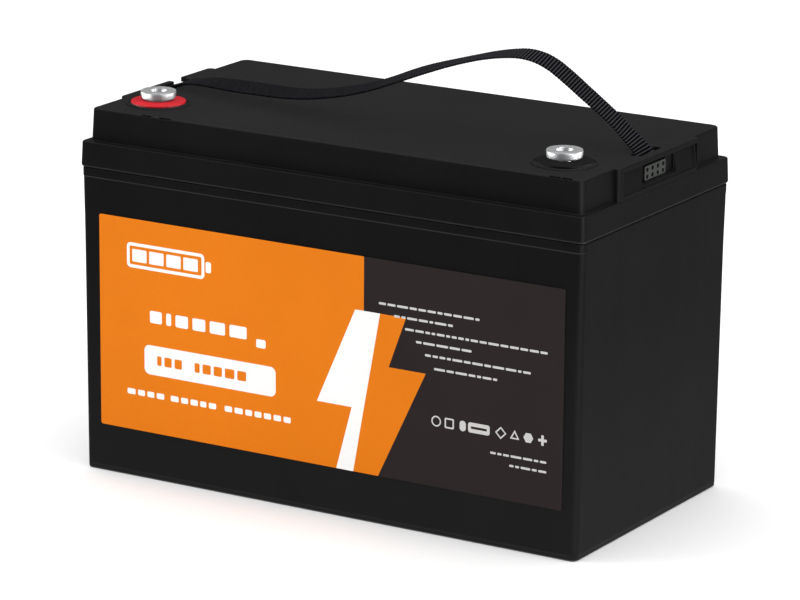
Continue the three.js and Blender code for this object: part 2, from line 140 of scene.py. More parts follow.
def outline(hx, hy, r, z, steps=10, cx=0.0, cy=0.0):
    pts = []
    for sx, sy, start in ((1, 1, 0), (-1, 1, 90), (-1, -1, 180), (1, -1, 270)):
        for i in range(steps + 1):
            a = math.radians(start + 90.0 * i / steps)
            pts.append((cx + sx * (hx - r) + r * math.cos(a), cy + sy * (hy - r) + r * math.sin(a), z))
    return pts


def fillet(a, b, c, n=5):
    """Points on a quarter-round from a to c with its corner at b, each (value, z)."""
    out = []
    for i in range(n + 1):
        t = i / n
        w = ((1 - t) ** 2, 2 * t * (1 - t) * 0.86, t * t)
        s = sum(w)
        out.append(tuple((w[0] * a[k] + w[1] * b[k] + w[2] * c[k]) / s for k in range(len(a))))
    return out


def loft(name, rings, cap=True):
    n = len(rings[0])
    verts = [p for ring in rings for p in ring]
    faces = []
    for k in range(len(rings) - 1):
        for i in range(n):
            j = (i + 1) % n
            faces.append((k * n + i, k * n + j, (k + 1) * n + j, (k + 1) * n + i))
    if cap:
        faces.append(tuple(range(n))[::-1])
        last = (len(rings) - 1) * n
        faces.append(tuple(last + i for i in range(n)))
    return add_object(name, mesh_from(name, verts, faces))


def lathe(name, profile, cx, cy, sides=96, phase=0.0):
    """profile is a closed loop of (radius, z); points at radius 0 sit on the axis."""
    verts, faces, ring_of = [], [], []
    for r, z in profile:
        if r < 1e-6:
            ring_of.append([len(verts)])
            verts.append((cx, cy, z))
        else:
            start = len(verts)
            for i in range(sides):
                a = 2 * math.pi * i / sides + phase
                verts.append((cx + r * math.cos(a), cy + r * math.sin(a), z))
            ring_of.append(list(range(start, start + sides)))
    m = len(profile)
    closed = not (profile[0][0] < 1e-6 and profile[-1][0] < 1e-6)
    for k in range(m if closed else m - 1):
        a, b = ring_of[k], ring_of[(k + 1) % m]
        for i in range(sides):
            j = (i + 1) % sides
            if len(a) == 1 and len(b) == 1:
                break
            if len(a) == 1:
                faces.append((a[0], b[i], b[j]))
            elif len(b) == 1:
                faces.append((a[i], b[0], a[j]))
            else:
                faces.append((a[i], b[i], b[j], a[j]))
    return add_object(name, mesh_from(name, verts, faces))


def box_loft(name, axis, stations):
    """A closed body along an axis through rectangles (at, u0, u1, v0, v1, corner radius)."""
    rings = []
    for at, u0, u1, v0, v1, r in stations:
        ring = outline((u1 - u0) / 2, (v1 - v0) / 2, max(r, 0.01), 0.0, 4, (u0 + u1) / 2, (v0 + v1) / 2)
        if axis == "x":
            rings.append([(at, u, v) for u, v, _ in ring])
        elif axis == "y":
            rings.append([(u, at, v) for u, v, _ in ring])
        else:
            rings.append([(u, v, at) for u, v, _ in ring])
    return loft(name, rings)


def boolean(target, tool, operation):
    modifier = target.modifiers.new("cut", "BOOLEAN")
    modifier.operation = operation
    modifier.object = tool
    modifier.solver = "MANIFOLD"
    bpy.context.view_layer.update()
    dg = bpy.context.evaluated_depsgraph_get()
    made = bpy.data.meshes.new_from_object(target.evaluated_get(dg))
    target.modifiers.clear()
    target.data = made
    bpy.data.objects.remove(tool)
    return target


def settle(obj, angle=32.0, weighted=True, dissolve=None):
    """Cleans the mesh and shades it smooth between its sharp edges."""
    bm = bmesh.new()
    bm.from_mesh(obj.data)
    bmesh.ops.remove_doubles(bm, verts=bm.verts, dist=1e-6)
    if dissolve:
        bmesh.ops.dissolve_limit(
            bm, angle_limit=math.radians(dissolve), verts=bm.verts, edges=bm.edges, use_dissolve_boundaries=False
        )
    bmesh.ops.recalc_face_normals(bm, faces=bm.faces)
    bm.to_mesh(obj.data)
    bm.free()
    obj.data.polygons.foreach_set("use_smooth", [True] * len(obj.data.polygons))
    obj.data.set_sharp_from_angle(angle=math.radians(angle))
    if weighted:
        m = obj.modifiers.new("normals", "WEIGHTED_NORMAL")
        m.keep_sharp = True
        m.weight = 60
    return obj


# ------------------------------------------------------------------ material helpers
class Mat:
    def __init__(self, name, color=(0.5, 0.5, 0.5), rough=0.5, metal=0.0, spec=0.5):
        self.m = bpy.data.materials.new(name)
        self.m.use_nodes = True
        self.t = self.m.node_tree
        self.t.nodes.clear()
        self.out = self.t.nodes.new("ShaderNodeOutputMaterial")
        self.b = self.t.nodes.new("ShaderNodeBsdfPrincipled")
        self.t.links.new(self.b.outputs[0], self.out.inputs[0])
        self.set("Base Color", (*color, 1))
        self.set("Roughness", rough)
        self.set("Metallic", metal)
        self.set("Specular IOR Level", spec)
        self.coord = self.t.nodes.new("ShaderNodeTexCoord").outputs["Object"]
        self.normal = None
        self.m.diffuse_color = (*color, 1)

    def set(self, key, value):
        self.b.inputs[key].default_value = value

    def node(self, kind, **inputs):
        n = self.t.nodes.new(kind)
        for k, v in inputs.items():
            if hasattr(v, "is_output"):
                self.t.links.new(v, n.inputs[k])
            else:
                n.inputs[k].default_value = v
        return n

    def link(self, out, key):
        self.t.links.new(out, self.b.inputs[key])

    def scaled(self, sx, sy, sz, rot=(0, 0, 0), source=None):
        n = self.t.nodes.new("ShaderNodeMapping")
        n.inputs["Scale"].default_value = (sx, sy, sz)
        n.inputs["Rotation"].default_value = rot
        self.t.links.new(source or self.coord, n.inputs["Vector"])
        return n.outputs[0]

    def noise(self, scale, detail=3.0, rough=0.5, vector=None, distortion=0.0):
        n = self.node("ShaderNodeTexNoise", Scale=scale, Detail=detail, Roughness=rough, Distortion=distortion)
        self.t.links.new(vector or self.coord, n.inputs["Vector"])
        return n.outputs["Fac"]

    def voronoi(self, scale, feature="F1", vector=None, randomness=1.0):
        n = self.t.nodes.new("ShaderNodeTexVoronoi")
        n.feature = feature
        n.inputs["Scale"].default_value = scale
        n.inputs["Randomness"].default_value = randomness
        self.t.links.new(vector or self.coord, n.inputs["Vector"])
        return n.outputs["Distance"]

    def wave(self, scale, vector=None, direction="X", distortion=0.0, profile="SIN"):
        n = self.t.nodes.new("ShaderNodeTexWave")
        n.bands_direction = direction
        n.wave_profile = profile
        n.inputs["Scale"].default_value = scale
        n.inputs["Distortion"].default_value = distortion
        self.t.links.new(vector or self.coord, n.inputs["Vector"])
        return n.outputs["Fac"]

    def math(self, op, a, b=None, clamp=False):
        n = self.t.nodes.new("ShaderNodeMath")
        n.operation = op
        n.use_clamp = clamp
        for i, v in enumerate((a, b)):
            if v is None:
                continue
            if hasattr(v, "is_output"):
                self.t.links.new(v, n.inputs[i])
            else:
                n.inputs[i].default_value = v
        return n.outputs[0]

    def span(self, fac, a, b, lo=0.0, hi=1.0):
        """Maps fac from lo..hi to a..b."""
        n = self.t.nodes.new("ShaderNodeMapRange")
        n.inputs["From Min"].default_value = lo
        n.inputs["From Max"].default_value = hi
        n.inputs["To Min"].default_value = a
        n.inputs["To Max"].default_value = b
        self.t.links.new(fac, n.inputs["Value"])
        return n.outputs[0]

    def ramp(self, fac, *stops):
        n = self.t.nodes.new("ShaderNodeValToRGB")
        e = n.color_ramp.elements
        while len(e) < len(stops):
            e.new(0.5)
        for k, (pos, col) in enumerate(stops):
            e[k].position = pos
            e[k].color = (*col, 1)
        self.t.links.new(fac, n.inputs["Fac"])
        return n.outputs["Color"]

    def mix(self, fac, a, b):
        n = self.t.nodes.new("ShaderNodeMix")
        n.data_type = "RGBA"
        for key, v in ((0, fac), (6, a), (7, b)):
            if hasattr(v, "is_output"):
                self.t.links.new(v, n.inputs[key])
            elif key == 0:
                n.inputs[0].default_value = v
            else:
                n.inputs[key].default_value = (*v, 1)
        return n.outputs[2]

    def bump(self, height, strength, distance):
        n = self.node("ShaderNodeBump", Strength=strength, Distance=distance)
        self.t.links.new(height, n.inputs["Height"])
        if self.normal is not None:
            self.t.links.new(self.normal, n.inputs["Normal"])
        self.normal = n.outputs[0]
        self.link(self.normal, "Normal")

    def edges(self, radius):
        """0 on open surfaces, towards 1 along edges."""
        bev = self.t.nodes.new("ShaderNodeBevel")
        bev.samples = 4
        bev.inputs["Radius"].default_value = radius
        geo = self.t.nodes.new("ShaderNodeNewGeometry")
        dot = self.t.nodes.new("ShaderNodeVectorMath")
        dot.operation = "DOT_PRODUCT"
        self.t.links.new(bev.outputs[0], dot.inputs[0])
        self.t.links.new(geo.outputs["Normal"], dot.inputs[1])
        return self.span(dot.outputs["Value"], 1.0, 0.0, 0.86, 0.995)


def dress(obj, mat, slot, body, *replaced):
    if not isinstance(mat, (list, tuple)):
        obj.data.materials.clear()
        mat = [mat]
    for m in mat:
        obj.data.materials.append(m.m if isinstance(m, Mat) else m)
    if body:
        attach(obj, body)
    if replaced:
        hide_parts(*replaced)
    return obj


# ------------------------------------------------------------------ materials of the outside
def moulded_black(name, base=0.0045, rough=0.45, spec=0.5, grain=0.16, low=0.0):
    m = Mat(name, (base, base, base * 1.03), rough, 0.0, spec)
    broad = m.noise(9.0, 3, 0.55)
    fine = m.noise(420.0, 3, 0.6)
    col = m.ramp(
        m.math("ADD", m.math("MULTIPLY", broad, 0.7), m.math("MULTIPLY", fine, 0.3)),
        (0.3, (base * 0.78, base * 0.78, base * 0.82)),
        (0.72, (base * 1.25, base * 1.24, base * 1.27)),
    )
    # painted light: the colour is lightened towards the bottom, up to 0.13 m, standing in for light bounced up from
    # the floor
    if low:
        pos = m.t.nodes.new("ShaderNodeSeparateXYZ")
        m.t.links.new(m.coord, pos.inputs[0])
        col = m.mix(m.span(pos.outputs["Z"], low, 0.0, 0.0, 0.13), col, (base * 2.2, base * 2.2, base * 2.25))
    # edges lightened in colour: partly edge wear, partly a painted highlight along the rounded edges; their roughness
    # drops there too
    edge = m.edges(0.0009)
    edge_wear_and_highlight = m.math("MULTIPLY", edge, m.span(m.noise(160.0, 4, 0.65), 0.15, 1.0, 0.35, 0.65), clamp=True)
    m.link(m.mix(m.math("MULTIPLY", edge_wear_and_highlight, 0.55), col, (0.016, 0.016, 0.017)), "Base Color")
    smear = m.noise(26.0, 4, 0.6, m.scaled(1.0, 1.0, 0.35))
    scratch = m.noise(60.0, 2, 0.5, m.scaled(0.6, 9.0, 24.0, (0.3, 0.1, 0.4)))
    r = m.math(
        "ADD",
        m.span(smear, rough - 0.06, rough + 0.07, 0.3, 0.7),
        m.math("MULTIPLY", m.math("GREATER_THAN", scratch, 0.7), -0.03),
    )
    m.link(m.math("SUBTRACT", r, m.math("MULTIPLY", edge_wear_and_highlight, 0.08), clamp=True), "Roughness")
    m.bump(m.noise(1500.0, 3, 0.6), grain, 0.00006)
    m.bump(m.noise(34.0, 2, 0.5), 0.12, 0.0003)
    return m


# the case gets the painted floor light near its foot
case_mat = moulded_black("case_plastic_moulded", low=0.75)
lid_mat = moulded_black("lid_plastic_moulded", base=0.005, rough=0.47)

def turned(m, x, y):
    """Concentric lathe marks about a vertical axis at x, y in metres."""
    n = m.t.nodes.new("ShaderNodeVectorMath")
    n.operation = "SUBTRACT"
    m.t.links.new(m.coord, n.inputs[0])
    n.inputs[1].default_value = (x, y, 0.0)
    flat = m.t.nodes.new("ShaderNodeVectorMath")
    flat.operation = "MULTIPLY"
    m.t.links.new(n.outputs[0], flat.inputs[0])
    flat.inputs[1].default_value = (1, 1, 0)
    length = m.t.nodes.new("ShaderNodeVectorMath")
    length.operation = "LENGTH"
    m.t.links.new(flat.outputs[0], length.inputs[0])
    radius = length.outputs["Value"]
    sep = m.t.nodes.new("ShaderNodeSeparateXYZ")
    m.t.links.new(m.coord, sep.inputs[0])
    both = m.math("ADD", m.math("MULTIPLY", radius, 9000.0), m.math("MULTIPLY", sep.outputs["Z"], 7000.0))
    groove = m.math("SINE", both)
    broken = m.math("MULTIPLY", groove, m.span(m.noise(90.0, 2), 0.2, 1.0, 0.3, 0.7))
    m.bump(broken, 0.3, 0.000010)
    m.bump(m.noise(520.0, 3, 0.6), 0.12, 0.00004)
    return m


def tin_for(name, x, y):
    m = Mat(name, (0.78, 0.79, 0.8), 0.3, 0.8)
    m.link(m.ramp(m.noise(230.0, 4, 0.6), (0.28, (0.70, 0.71, 0.72)), (0.72, (0.88, 0.89, 0.90))), "Base Color")
    m.link(m.span(m.noise(300.0, 4, 0.6), 0.34, 0.46, 0.3, 0.7), "Roughness")
    return turned(m, x, y)


def gloss_plastic(name, base, rough=0.3, spec=0.5, var=0.12, grain=0.1):
    m = Mat(name, base, rough, 0.0, spec)
    lo = tuple(c * (1 - var) for c in base)
    hi = tuple(min(1.0, c * (1 + var)) for c in base)
    m.link(m.ramp(m.noise(120.0, 3, 0.6), (0.3, lo), (0.7, hi)), "Base Color")
    m.link(m.span(m.noise(260.0, 3, 0.6), rough - 0.05, rough + 0.08, 0.3, 0.7), "Roughness")
    m.bump(m.noise(1600.0, 2, 0.6), grain, 0.00004)
    return m


red_mat = gloss_plastic("collar_red_gloss", (0.56, 0.010, 0.020), 0.32, 0.3)
black_collar_mat = gloss_plastic("collar_black_gloss", (0.0032, 0.0032, 0.0036), 0.5, 0.2)
anchor_mat = gloss_plastic("anchor_grey", (0.060, 0.065, 0.059), 0.5, 0.2, 0.12, 0.2)
# grey on its outer face; its sides and hole walls get a dark colour, a painted shade for the inside of the pocket
facing = anchor_mat.t.nodes.new("ShaderNodeNewGeometry")
split = anchor_mat.t.nodes.new("ShaderNodeSeparateXYZ")
anchor_mat.t.links.new(facing.outputs["Normal"], split.inputs[0])
flat_on = anchor_mat.span(anchor_mat.math("ABSOLUTE", split.outputs["X"]), 0.0, 1.0, 0.45, 0.8)
grey = anchor_mat.b.inputs["Base Color"].links[0].from_socket
anchor_mat.link(anchor_mat.mix(flat_on, (0.010, 0.011, 0.010), grey), "Base Color")

web = Mat("webbing_black", (0.010, 0.0095, 0.0115), 0.8, 0.0, 0.07)
web.set("Sheen Weight", 0.02)
web.set("Sheen Roughness", 0.45)
web.set("Sheen Tint", (0.75, 0.72, 0.85, 1))
uvn = web.t.nodes.new("ShaderNodeUVMap")
uvn.uv_map = "strap"
sep = web.t.nodes.new("ShaderNodeSeparateXYZ")
web.t.links.new(uvn.outputs[0], sep.inputs[0])
along, across = sep.outputs["X"], sep.outputs["Y"]  # mm along, mm across
TAU = 2 * math.pi
RIB = 1.853
rib = web.math("COSINE", web.math("MULTIPLY", along, TAU / RIB))  # 1 on each ridge
warp = web.math("SINE", web.math("MULTIPLY", across, TAU / 1.15))
cell = web.math("MULTIPLY", web.math("SINE", web.math("MULTIPLY", along, TAU / RIB)), warp)
fibre_vec = web.t.nodes.new("ShaderNodeCombineXYZ")
web.t.links.new(web.math("MULTIPLY", along, 9.0), fibre_vec.inputs[0])
web.t.links.new(web.math("MULTIPLY", across, 1.1), fibre_vec.inputs[1])
fibre = web.noise(1.0, 3, 0.6, fibre_vec.outputs[0])
# ridges painted lighter and valleys darker: a painted highlight and painted shade on the ribs, mixed with the fibre's
# own random tone
rib_shade_and_fibre_tone = web.math(
    "ADD",
    web.math("ADD", web.math("MULTIPLY", rib, 0.42), web.math("MULTIPLY", cell, 0.10)),
    web.math("ADD", web.math("MULTIPLY", fibre, 0.4), 0.22),
)
rib_shade_and_fibre = web.ramp(
    rib_shade_and_fibre_tone,
    (0.30, (0.0003, 0.0003, 0.0005)),
    (0.56, (0.0026, 0.0024, 0.0034)),
    (0.74, (0.0250, 0.0235, 0.0290)),
    (0.90, (0.0620, 0.0590, 0.0680)),
)
# painted shade: beyond the top of the arch, towards the left end, the ribbed colour fades into a darker, flatter tone
shade = web.span(web.math("ADD", along, web.math("MULTIPLY", fibre, 20.0)), 1.0, 0.0, 95.0, 205.0)
patch_vec = web.t.nodes.new("ShaderNodeCombineXYZ")
web.t.links.new(web.math("MULTIPLY", along, 0.7), patch_vec.inputs[0])
web.t.links.new(web.math("MULTIPLY", across, 0.55), patch_vec.inputs[1])
patch = web.noise(1.0, 3, 0.65, patch_vec.outputs[0])
painted_shade_tone = web.ramp(patch, (0.34, (0.0004, 0.0004, 0.0008)), (0.50, (0.0030, 0.0028, 0.0044)), (0.66, (0.0090, 0.0084, 0.0112)))
web.link(web.mix(shade, painted_shade_tone, rib_shade_and_fibre), "Base Color")
web.link(web.span(fibre, 0.52, 0.72, 0.3, 0.7), "Roughness")
web.link(web.span(rib, 0.01, 0.165, -0.7, 0.7), "Specular IOR Level")
web.bump(cell, 0.5, 0.00012)
web.bump(fibre, 0.45, 0.00012)


def print_ink(name, base, rough=0.46, spec=0.22):
    """A printed, laminated film: fine dot grain, a slight orange peel in the laminate and handling marks."""
    m = Mat(name, base, rough, 0.0, spec)
    lo = tuple(c * 0.94 for c in base)
    hi = tuple(min(1.0, c * 1.05) for c in base)
    grain = m.math("ADD", m.math("MULTIPLY", m.noise(18.0, 3, 0.5), 0.6), m.math("MULTIPLY", m.voronoi(2600.0), 0.4))
    m.link(m.ramp(grain, (0.25, lo), (0.7, hi)), "Base Color")
    m.link(m.span(m.noise(45.0, 4, 0.6), rough - 0.07, rough + 0.08, 0.3, 0.7), "Roughness")
    m.bump(m.noise(230.0, 2, 0.5), 0.1, 0.00006)
    m.bump(m.noise(11.0, 2, 0.5), 0.08, 0.0006)
    return m


ink_orange = print_ink("label_orange", (0.73, 0.183, 0.002), 0.48, 0.12)
ink_dark = print_ink("label_dark", (0.0245, 0.0175, 0.018), 0.5, 0.16)
ink_white = print_ink("label_white", (0.88, 0.88, 0.87))
ink_grey = print_ink("label_grey", (0.55, 0.54, 0.53))
film_edge = print_ink("label_film_edge", (0.6, 0.58, 0.55))

# ------------------------------------------------------------------ container
rings = []
b = TUB_BOTTOM
foot = (b[0] - 0.3, b[1] - 0.3)
prof = []  # (inset from the wall line, z)
rings.append(outline(foot[0] - 1.3, foot[1] - 1.3, 2.6, 0.0))
for t in range(1, 5):
    a = math.radians(90 * t / 5)
    rings.append(outline(foot[0] - 1.3 + 1.3 * math.sin(a), foot[1] - 1.3 + 1.3 * math.sin(a), 2.6 + 1.1 * math.sin(a), 1.3 - 1.3 * math.cos(a)))
rings.append(outline(foot[0], foot[1], 3.7, 1.3))
rings.append(outline(foot[0], foot[1], 3.7, 1.9))
for t in range(1, 6):  # hollow, then round, out to the wall
    k = t / 6
    s = k * k * (3 - 2 * k)
    rings.append(outline(foot[0] + 0.3 * s, foot[1] + 0.3 * s, 3.7 + 0.8 * s, 1.9 + 2.2 * k))
for z in (4.2, 6.4, 60.0, 120.0, 140.0):
    rings.append(outline(wall_x(z), wall_y(z), CORNER_R, z))
# a shallow step below the shoulder on the long faces; the ends only swell a little
def swell(z):
    t = max(0.0, min(1.0, (z - 140.0) / 40.0))
    return 0.38 * t * t * (3 - 2 * t)


for z in (150.0, 160.0, 168.0, 174.1):
    rings.append(outline(wall_x(z) + swell(z), wall_y(z), CORNER_R, z))
for z, out in ((174.6, 0.03), (174.9, 0.14), (175.1, 0.32), (175.25, 0.42), (175.5, 0.45), (179.2, 0.43), (179.6, 0.30)):
    rings.append(outline(wall_x(z) + swell(z), wall_y(z) + out, CORNER_R, z))
rings.append(outline(wall_x(180.0) + 0.2, wall_y(180.0) - 0.05, CORNER_R, SHOULDER_Z))
rings.append(outline(RIM[0], RIM[1], 3.0, SHOULDER_Z))
rings.append(outline(RIM[0], RIM[1], 3.0, RIM_Z))
rings.append(outline(TUB_INNER_TOP[0], TUB_INNER_TOP[1], 1.6, RIM_Z))
rings.append(outline(TUB_INNER_BOTTOM[0], TUB_INNER_BOTTOM[1], 1.6, FLOOR_T))
container = settle(loft("container_shell", rings), 34)
dress(container, case_mat, "case_plastic", "case", "container")

# ------------------------------------------------------------------ lid
rings = []
FLANGE_R = 3.6
rings.append(outline(HALF_L - 1.15, HALF_W - 1.15, FLANGE_R - 0.8, FL_BOTTOM))
for t in range(1, 7):
    a = math.radians(90 * t / 6)
    rings.append(
        outline(HALF_L - 1.15 + 1.15 * math.sin(a), HALF_W - 1.15 + 1.15 * math.sin(a), FLANGE_R - 0.8 + 0.8 * math.sin(a), FL_BOTTOM + 1.7 * (1 - math.cos(a)))
    )
rings.append(outline(HALF_L - 0.45, HALF_W - 0.45, FLANGE_R, FL_TOP - 0.8))
for t in range(1, 6):
    a = math.radians(90 * t / 5)
    rings.append(
        outline(HALF_L - 0.45 - 0.8 * (1 - math.cos(a)), HALF_W - 0.45 - 0.8 * (1 - math.cos(a)), FLANGE_R, FL_TOP - 0.8 + 0.8 * math.sin(a))
    )
rings.append(outline(BLOCK_BASE[0] + 0.55, BLOCK_BASE[1] + 0.55, CORNER_R + 0.4, FL_TOP))
for t in range(1, 5):
    a = math.radians(90 * t / 4)
    rings.append(
        outline(BLOCK_BASE[0] + 0.55 * (1 - math.sin(a)), BLOCK_BASE[1] + 0.55 * (1 - math.sin(a)), CORNER_R, FL_TOP + 0.55 * (1 - math.cos(a)))
    )
ROUND = 1.3
rings.append(outline(BLOCK_TOP[0], BLOCK_TOP[1], CORNER_R, LID_TOP - ROUND))
for t in range(1, 7):
    a = math.radians(90 * t / 6)
    d = ROUND * (1 - math.cos(a))
    rings.append(outline(BLOCK_TOP[0] - d, BLOCK_TOP[1] - d, CORNER_R - 0.6 * math.sin(a), LID_TOP - ROUND + ROUND * math.sin(a)))
lid = loft("lid_shell", rings)

for s in (-1, 1):
    cx, hx = s * (BOSS_X + 150.0) / 2, (BOSS_X - 150.0) / 2
    rr = []
    rr.append(outline(hx, BOSS_Y, BOSS_R, FL_TOP - 1.5, 8, cx, BOSS_C))
    rr.append(outline(hx, BOSS_Y, BOSS_R, LID_TOP - 0.8, 8, cx, BOSS_C))
    for t in range(1, 6):
        a = math.radians(90 * t / 5)
        d = 0.8 * (1 - math.cos(a))
        rr.append(outline(hx - d, BOSS_Y - d, BOSS_R - 0.5 * math.sin(a), LID_TOP - 0.8 + 0.8 * math.sin(a), 8, cx, BOSS_C))
    boolean(lid, loft("boss", rr), "UNION")

# raised rings round the terminals, each with its well
for x, y in (POSITIVE, NEGATIVE):
    ring_prof = [(16.9, 213.4), (18.9, 213.4), (18.85, 214.05), (18.7, 214.4), (18.45, 214.62), (18.1, 214.7), (17.6, 214.7), (17.3, 214.62), (17.1, 214.4), (16.95, 214.0)]
    boolean(lid, lathe("ring", ring_prof, x, y, 96), "UNION")

# hollow underside
boolean(lid, loft("socket", [outline(RIM[0] + 0.3, RIM[1] + 0.3, 3.3, FL_BOTTOM - 2), outline(RIM[0] + 0.3, RIM[1] + 0.3, 3.3, RIM_Z + 2.3)]), "DIFFERENCE")
boolean(
    lid,
    loft("cavity", [outline(BLOCK_BASE[0] - LID_WALL, BLOCK_BASE[1] - LID_WALL, 2, RIM_Z - 2), outline(BLOCK_TOP[0] - LID_WALL, BLOCK_TOP[1] - LID_WALL, 2, LID_TOP - 3.5)]),
    "DIFFERENCE",
)


def face_cut(s, x_deep, x_face, y0, y1, z0, z1, r, flare, beyond=171.0):
    """A pocket into an end face, with its mouth rounded over by flare."""
    st = [(s * x_deep, y0, y1, z0, z1, r)]
    st.append((s * (x_face - flare), y0, y1, z0, z1, r))
    for t in (1, 2, 3):
        a = math.radians(90 * t / 3)
        d = flare * (1 - math.cos(a))
        st.append((s * (x_face - flare + flare * math.sin(a)), y0 - d, y1 + d, z0 - d, z1 + d, r + d))
    d = flare
    st.append((s * beyond, y0 - d, y1 + d, z0 - d, z1 + d, r + d))
    return box_loft("cut", "x", st)


for s in (-1, 1):
    boolean(lid, box_loft("carrier", "x", [(s * 146.5, -21.5, 23.5, 196.8, LID_TOP - 3, 0.6), (s * 159.0, -21.5, 23.5, 196.8, LID_TOP - 3, 0.6)]), "UNION")
    # the recess, deepest under its top edge and running out towards the flange
    st = []
    for z, x in ((197.2, 163.8), (211.0, 162.0)):
        st.append((z, min(s * x, s * 171.0), max(s * x, s * 171.0), -41.2, 45.2, 0.7))
    boolean(lid, box_loft("recess", "z", st), "DIFFERENCE")
    boolean(lid, face_cut(s, 161.1, 162.4, -17.6, 21.2, 199.9, 209.6, 0.8, 0.5), "DIFFERENCE")
    boolean(lid, face_cut(s, 150.2, 162.5, -12.95, 12.95, 199.9, 210.5, 0.6, 0.25), "DIFFERENCE")
    st = []
    x0, x1, y0, y1 = (152.2, 158.3, -12.8, 14.4) if s > 0 else (-160.2, -150.0, -14.8, 15.2)
    st.append((209.3, x0, x1, y0, y1, 2.4))
    st.append((LID_TOP - 0.8, x0, x1, y0, y1, 2.4))
    for t in (1, 2, 3, 4):
        a = math.radians(90 * t / 4)
        d = 0.8 * (1 - math.cos(a))
        st.append((LID_TOP - 0.8 + 0.8 * math.sin(a), x0 - d, x1 + d, y0 - d, y1 + d, 2.4 + d))
    st.append((LID_TOP + 3, x0 - 0.8, x1 + 0.8, y0 - 0.8, y1 + 0.8, 3.2))
    boolean(lid, box_loft("slot", "z", st), "DIFFERENCE")
# the notch in the lip at the left end
boolean(lid, box_loft("notch", "x", [(-158.9, 4.2, 17.6, 210.4, 217.0, 0.3), (-170.0, 4.2, 17.6, 210.4, 217.0, 0.3)]), "DIFFERENCE")
# small drain nicks along the front top edge beside each terminal
for x0, x1 in ((-126.0, -119.0), (-114.0, -106.0), (139.5, 146.5), (147.5, 154.0)):
    boolean(lid, box_loft("nick", "y", [(-84.0, x0, x1, 213.2, 217.0, 0.2), (-78.6, x0, x1, 213.2, 217.0, 0.2)]), "DIFFERENCE")
for x, y in (POSITIVE, NEGATIVE):
    boolean(lid, lathe("bore", [(0, 205.0), (14.8, 205.0), (14.8, 217.5), (0, 217.5)], x, y, 96), "DIFFERENCE")
settle(lid, 34, dissolve=0.4)
dress(lid, lid_mat, "case_plastic", "case", "lid")

# ------------------------------------------------------------------ terminals
PITCH = 1.25
for name, (x, y) in (("positive", POSITIVE), ("negative", NEGATIVE)):
    prof = [(0, 196.5), (6.3, 196.5), (6.7, 196.9), (6.7, 216.75), (8.4, 216.8)]
    for t in range(1, 6):
        a = math.radians(90 * t / 5)
        prof.append((8.4 + 1.45 * math.sin(a), 216.8 + 1.2 * (1 - math.cos(a))))
    prof += [(9.95, 218.6), (10.16, 219.6), (10.22, 220.7)]
    for t in range(1, 6):
        a = math.radians(90 * t / 5)
        prof.append((10.2 - 0.55 * (1 - math.cos(a)), 221.1 + 0.6 * math.sin(a)))
    prof += [(9.5, 221.7), (5.35, 221.7), (5.05, 221.6), (4.85, 221.35), (4.72, 218.3), (4.1, 217.8)]
    z = 217.6
    while z > 206.2:
        prof += [(4.02, z), (3.98, z - 0.16), (3.4, z - 0.52), (3.4, z - 0.72)]
        z -= PITCH
    prof += [(4.0, z), (4.0, 204.6), (0, 203.6)]
    post = settle(lathe("terminal_head_" + name, prof, x, y, 128), 40)
    post.visible_glossy = False
    dress(post, tin_for("terminal_tin_" + name, x * MM, y * MM), "terminal_metal", "case", "terminal_post_" + name)
    cp = [(7.0, 210.6), (14.2, 210.6), (14.5, 210.9), (14.5, 214.3), (15.5, 214.35), (15.8, 214.5), (15.9, 214.75), (15.9, 215.25), (15.82, 215.5), (15.6, 215.66)]
    cp += [(14.4, 215.82), (13.0, 216.0), (11.6, 216.18), (11.2, 216.25), (10.9, 216.3), (7.0, 216.3)]
    collar = settle(lathe("terminal_ring_" + name, cp, x, y, 128), 50)
    collar.visible_glossy = False
    dress(collar, red_mat if name == "positive" else black_collar_mat, "collar_red" if name == "positive" else "collar_black", "case", "terminal_collar_" + name)

